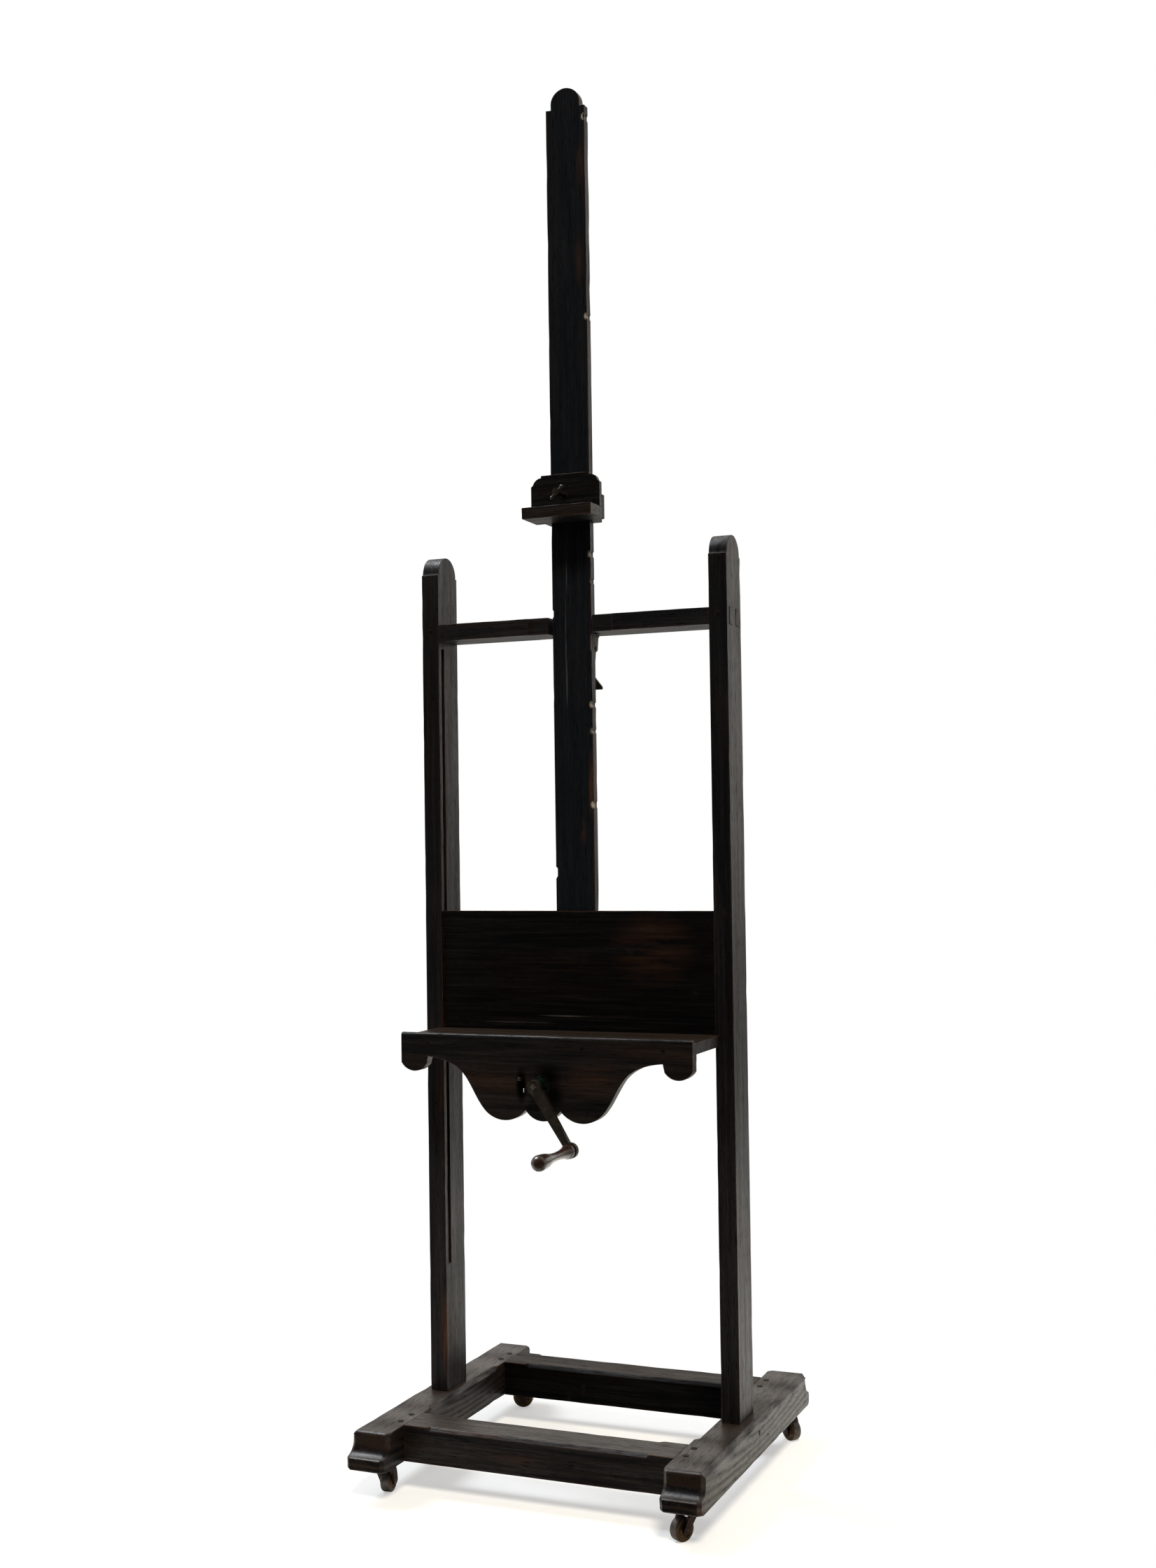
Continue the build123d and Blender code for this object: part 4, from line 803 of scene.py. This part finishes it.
# ---------------------------------------------------------------- stage, light, camera
FLOOR_HALF = 50.0
SHADOW_REACH = 0.50, 0.72     # the shadows fade out between these metres from the middle
WINDOW_WARM = (1.0, 0.93, 0.80)
SKY_COOL = (0.86, 0.93, 1.0)

CAMERA_PLACE = (1.2962, -3.096, 1.1358)
CAMERA_TURN = 22.807          # degrees to the left of +Y
CAMERA_TILT = 1.397           # degrees up
CAMERA_ROLL = -0.80           # degrees about the line of sight
CAMERA_LENS = 42.1526         # millimetres on a sensor 36 mm high
CAMERA_SHIFT = 0.0045515, 0.0112450


def floor():
    """Pale floor with the shadows near the base, fading into the white room around it."""
    bm = bmesh.new()
    bmesh.ops.create_grid(bm, x_segments=8, y_segments=8, size=FLOOR_HALF)
    obj = mesh_object("floor", bm)
    tree = Tree("pale_floor")
    color = tree.mix(tree.remap(tree.noise(30, 4), 0.3, 0.7), (0.93, 0.92, 0.88),
                     (0.97, 0.96, 0.93))
    seen = tree.node("LightPath").outputs["Is Camera Ray"]

    # The easel is lit from a floor that dims with distance, most of all toward the camera.
    reach = tree.length(tree.mapped(1.0, (0.0, 0.05, 0.0)))
    toward_camera = tree.vector("DOT_PRODUCT", tree.coords, TOWARD_CAMERA)
    thrown_back = tree.times(tree.remap(reach, 2.0, 4.5, 0.66, 0.12),
                             tree.remap(toward_camera, 0.15, 0.75, 1.0, 0.08))
    dim = tree.mix(thrown_back, (0, 0, 0), (1.0, 0.985, 0.95))
    tree.finish(tree.mix(seen, dim, color), 0.8, specular=0.1)

    # The camera sees it fade to plain white away from the base.
    white = tree.node("Emission").outputs[0]
    far = tree.times(tree.remap(reach, *SHADOW_REACH, 0.46, 1.0), seen)
    blend = tree.node("MixShader", {0: far, 1: tree.bsdf.outputs[0], 2: white})
    tree.feed(tree.out.inputs["Surface"], blend.outputs[0])
    paint(obj, tree.material)


def room_light():
    """White room whose side behind the camera is dim; the camera itself sees plain white."""
    world = bpy.data.worlds.new("room")
    bpy.context.scene.world = world
    world.use_nodes = True
    nodes, links = world.node_tree.nodes, world.node_tree.links
    nodes.clear()

    toward_camera = nodes.new("ShaderNodeVectorMath")
    toward_camera.operation = "DOT_PRODUCT"
    toward_camera.inputs[1].default_value = TOWARD_CAMERA
    links.new(nodes.new("ShaderNodeTexCoord").outputs["Generated"], toward_camera.inputs[0])
    strength = nodes.new("ShaderNodeMapRange")
    strength.interpolation_type = "SMOOTHSTEP"
    for name, value in (("From Min", -0.25), ("From Max", 0.55),
                        ("To Min", 0.85), ("To Max", 0.03)):
        strength.inputs[name].default_value = value
    links.new(toward_camera.outputs["Value"], strength.inputs["Value"])

    room = nodes.new("ShaderNodeBackground")
    room.inputs["Color"].default_value = (1.0, 0.955, 0.90, 1)
    links.new(strength.outputs["Result"], room.inputs["Strength"])
    white = nodes.new("ShaderNodeBackground")
    white.inputs["Color"].default_value = (1, 1, 1, 1)
    mix = nodes.new("ShaderNodeMixShader")
    links.new(nodes.new("ShaderNodeLightPath").outputs["Is Camera Ray"], mix.inputs["Fac"])
    links.new(room.outputs[0], mix.inputs[1])
    links.new(white.outputs[0], mix.inputs[2])
    links.new(mix.outputs[0], nodes.new("ShaderNodeOutputWorld").inputs["Surface"])


def sunlight(name, direction, strength, spread, color, glossy=True):
    """Large soft window or lamp: the way its light travels, and its spread in degrees."""
    lamp = bpy.data.lights.new(name, "SUN")
    lamp.energy = strength
    lamp.angle = math.radians(spread)
    lamp.color = color
    obj = bpy.data.objects.new(name, lamp)
    obj.rotation_euler = Vector(direction).to_track_quat("-Z", "Y").to_euler()
    obj.visible_glossy = glossy
    bpy.context.scene.collection.objects.link(obj)


def camera():
    """At the front right, a little below half height, and nearly level."""
    data = bpy.data.cameras.new("camera")
    obj = bpy.data.objects.new("camera", data)
    bpy.context.scene.collection.objects.link(obj)
    turn, tilt, roll = (math.radians(a) for a in (CAMERA_TURN, CAMERA_TILT, CAMERA_ROLL))
    forward = Vector((-math.sin(turn) * math.cos(tilt), math.cos(turn) * math.cos(tilt),
                      math.sin(tilt)))
    level = Vector((math.cos(turn), math.sin(turn), 0))
    upright = level.cross(forward)
    right = math.cos(roll) * level + math.sin(roll) * upright
    up = -math.sin(roll) * level + math.cos(roll) * upright
    matrix = Matrix((right, up, -forward)).transposed().to_4x4()
    matrix.translation = Vector(CAMERA_PLACE)
    obj.matrix_world = matrix
    data.sensor_width = 36.0
    data.lens = CAMERA_LENS
    data.shift_x, data.shift_y = CAMERA_SHIFT
    data.clip_end = FLOOR_HALF + 10.0
    bpy.context.scene.camera = obj


base_boards()
frame_boards()
mast_board()
carriage_boards()
holder_boards()
pegs_and_metal()
lifting_cord()
floor()
room_light()
sunlight("key", (-0.42, 0.75, -1.0), strength=3.6, spread=13, color=WINDOW_WARM,
         glossy=False)
sunlight("fill", (0.60, -0.05, -1.0), strength=2.2, spread=20, color=SKY_COOL)
camera()
bpy.context.scene.view_settings.view_transform = "Standard"
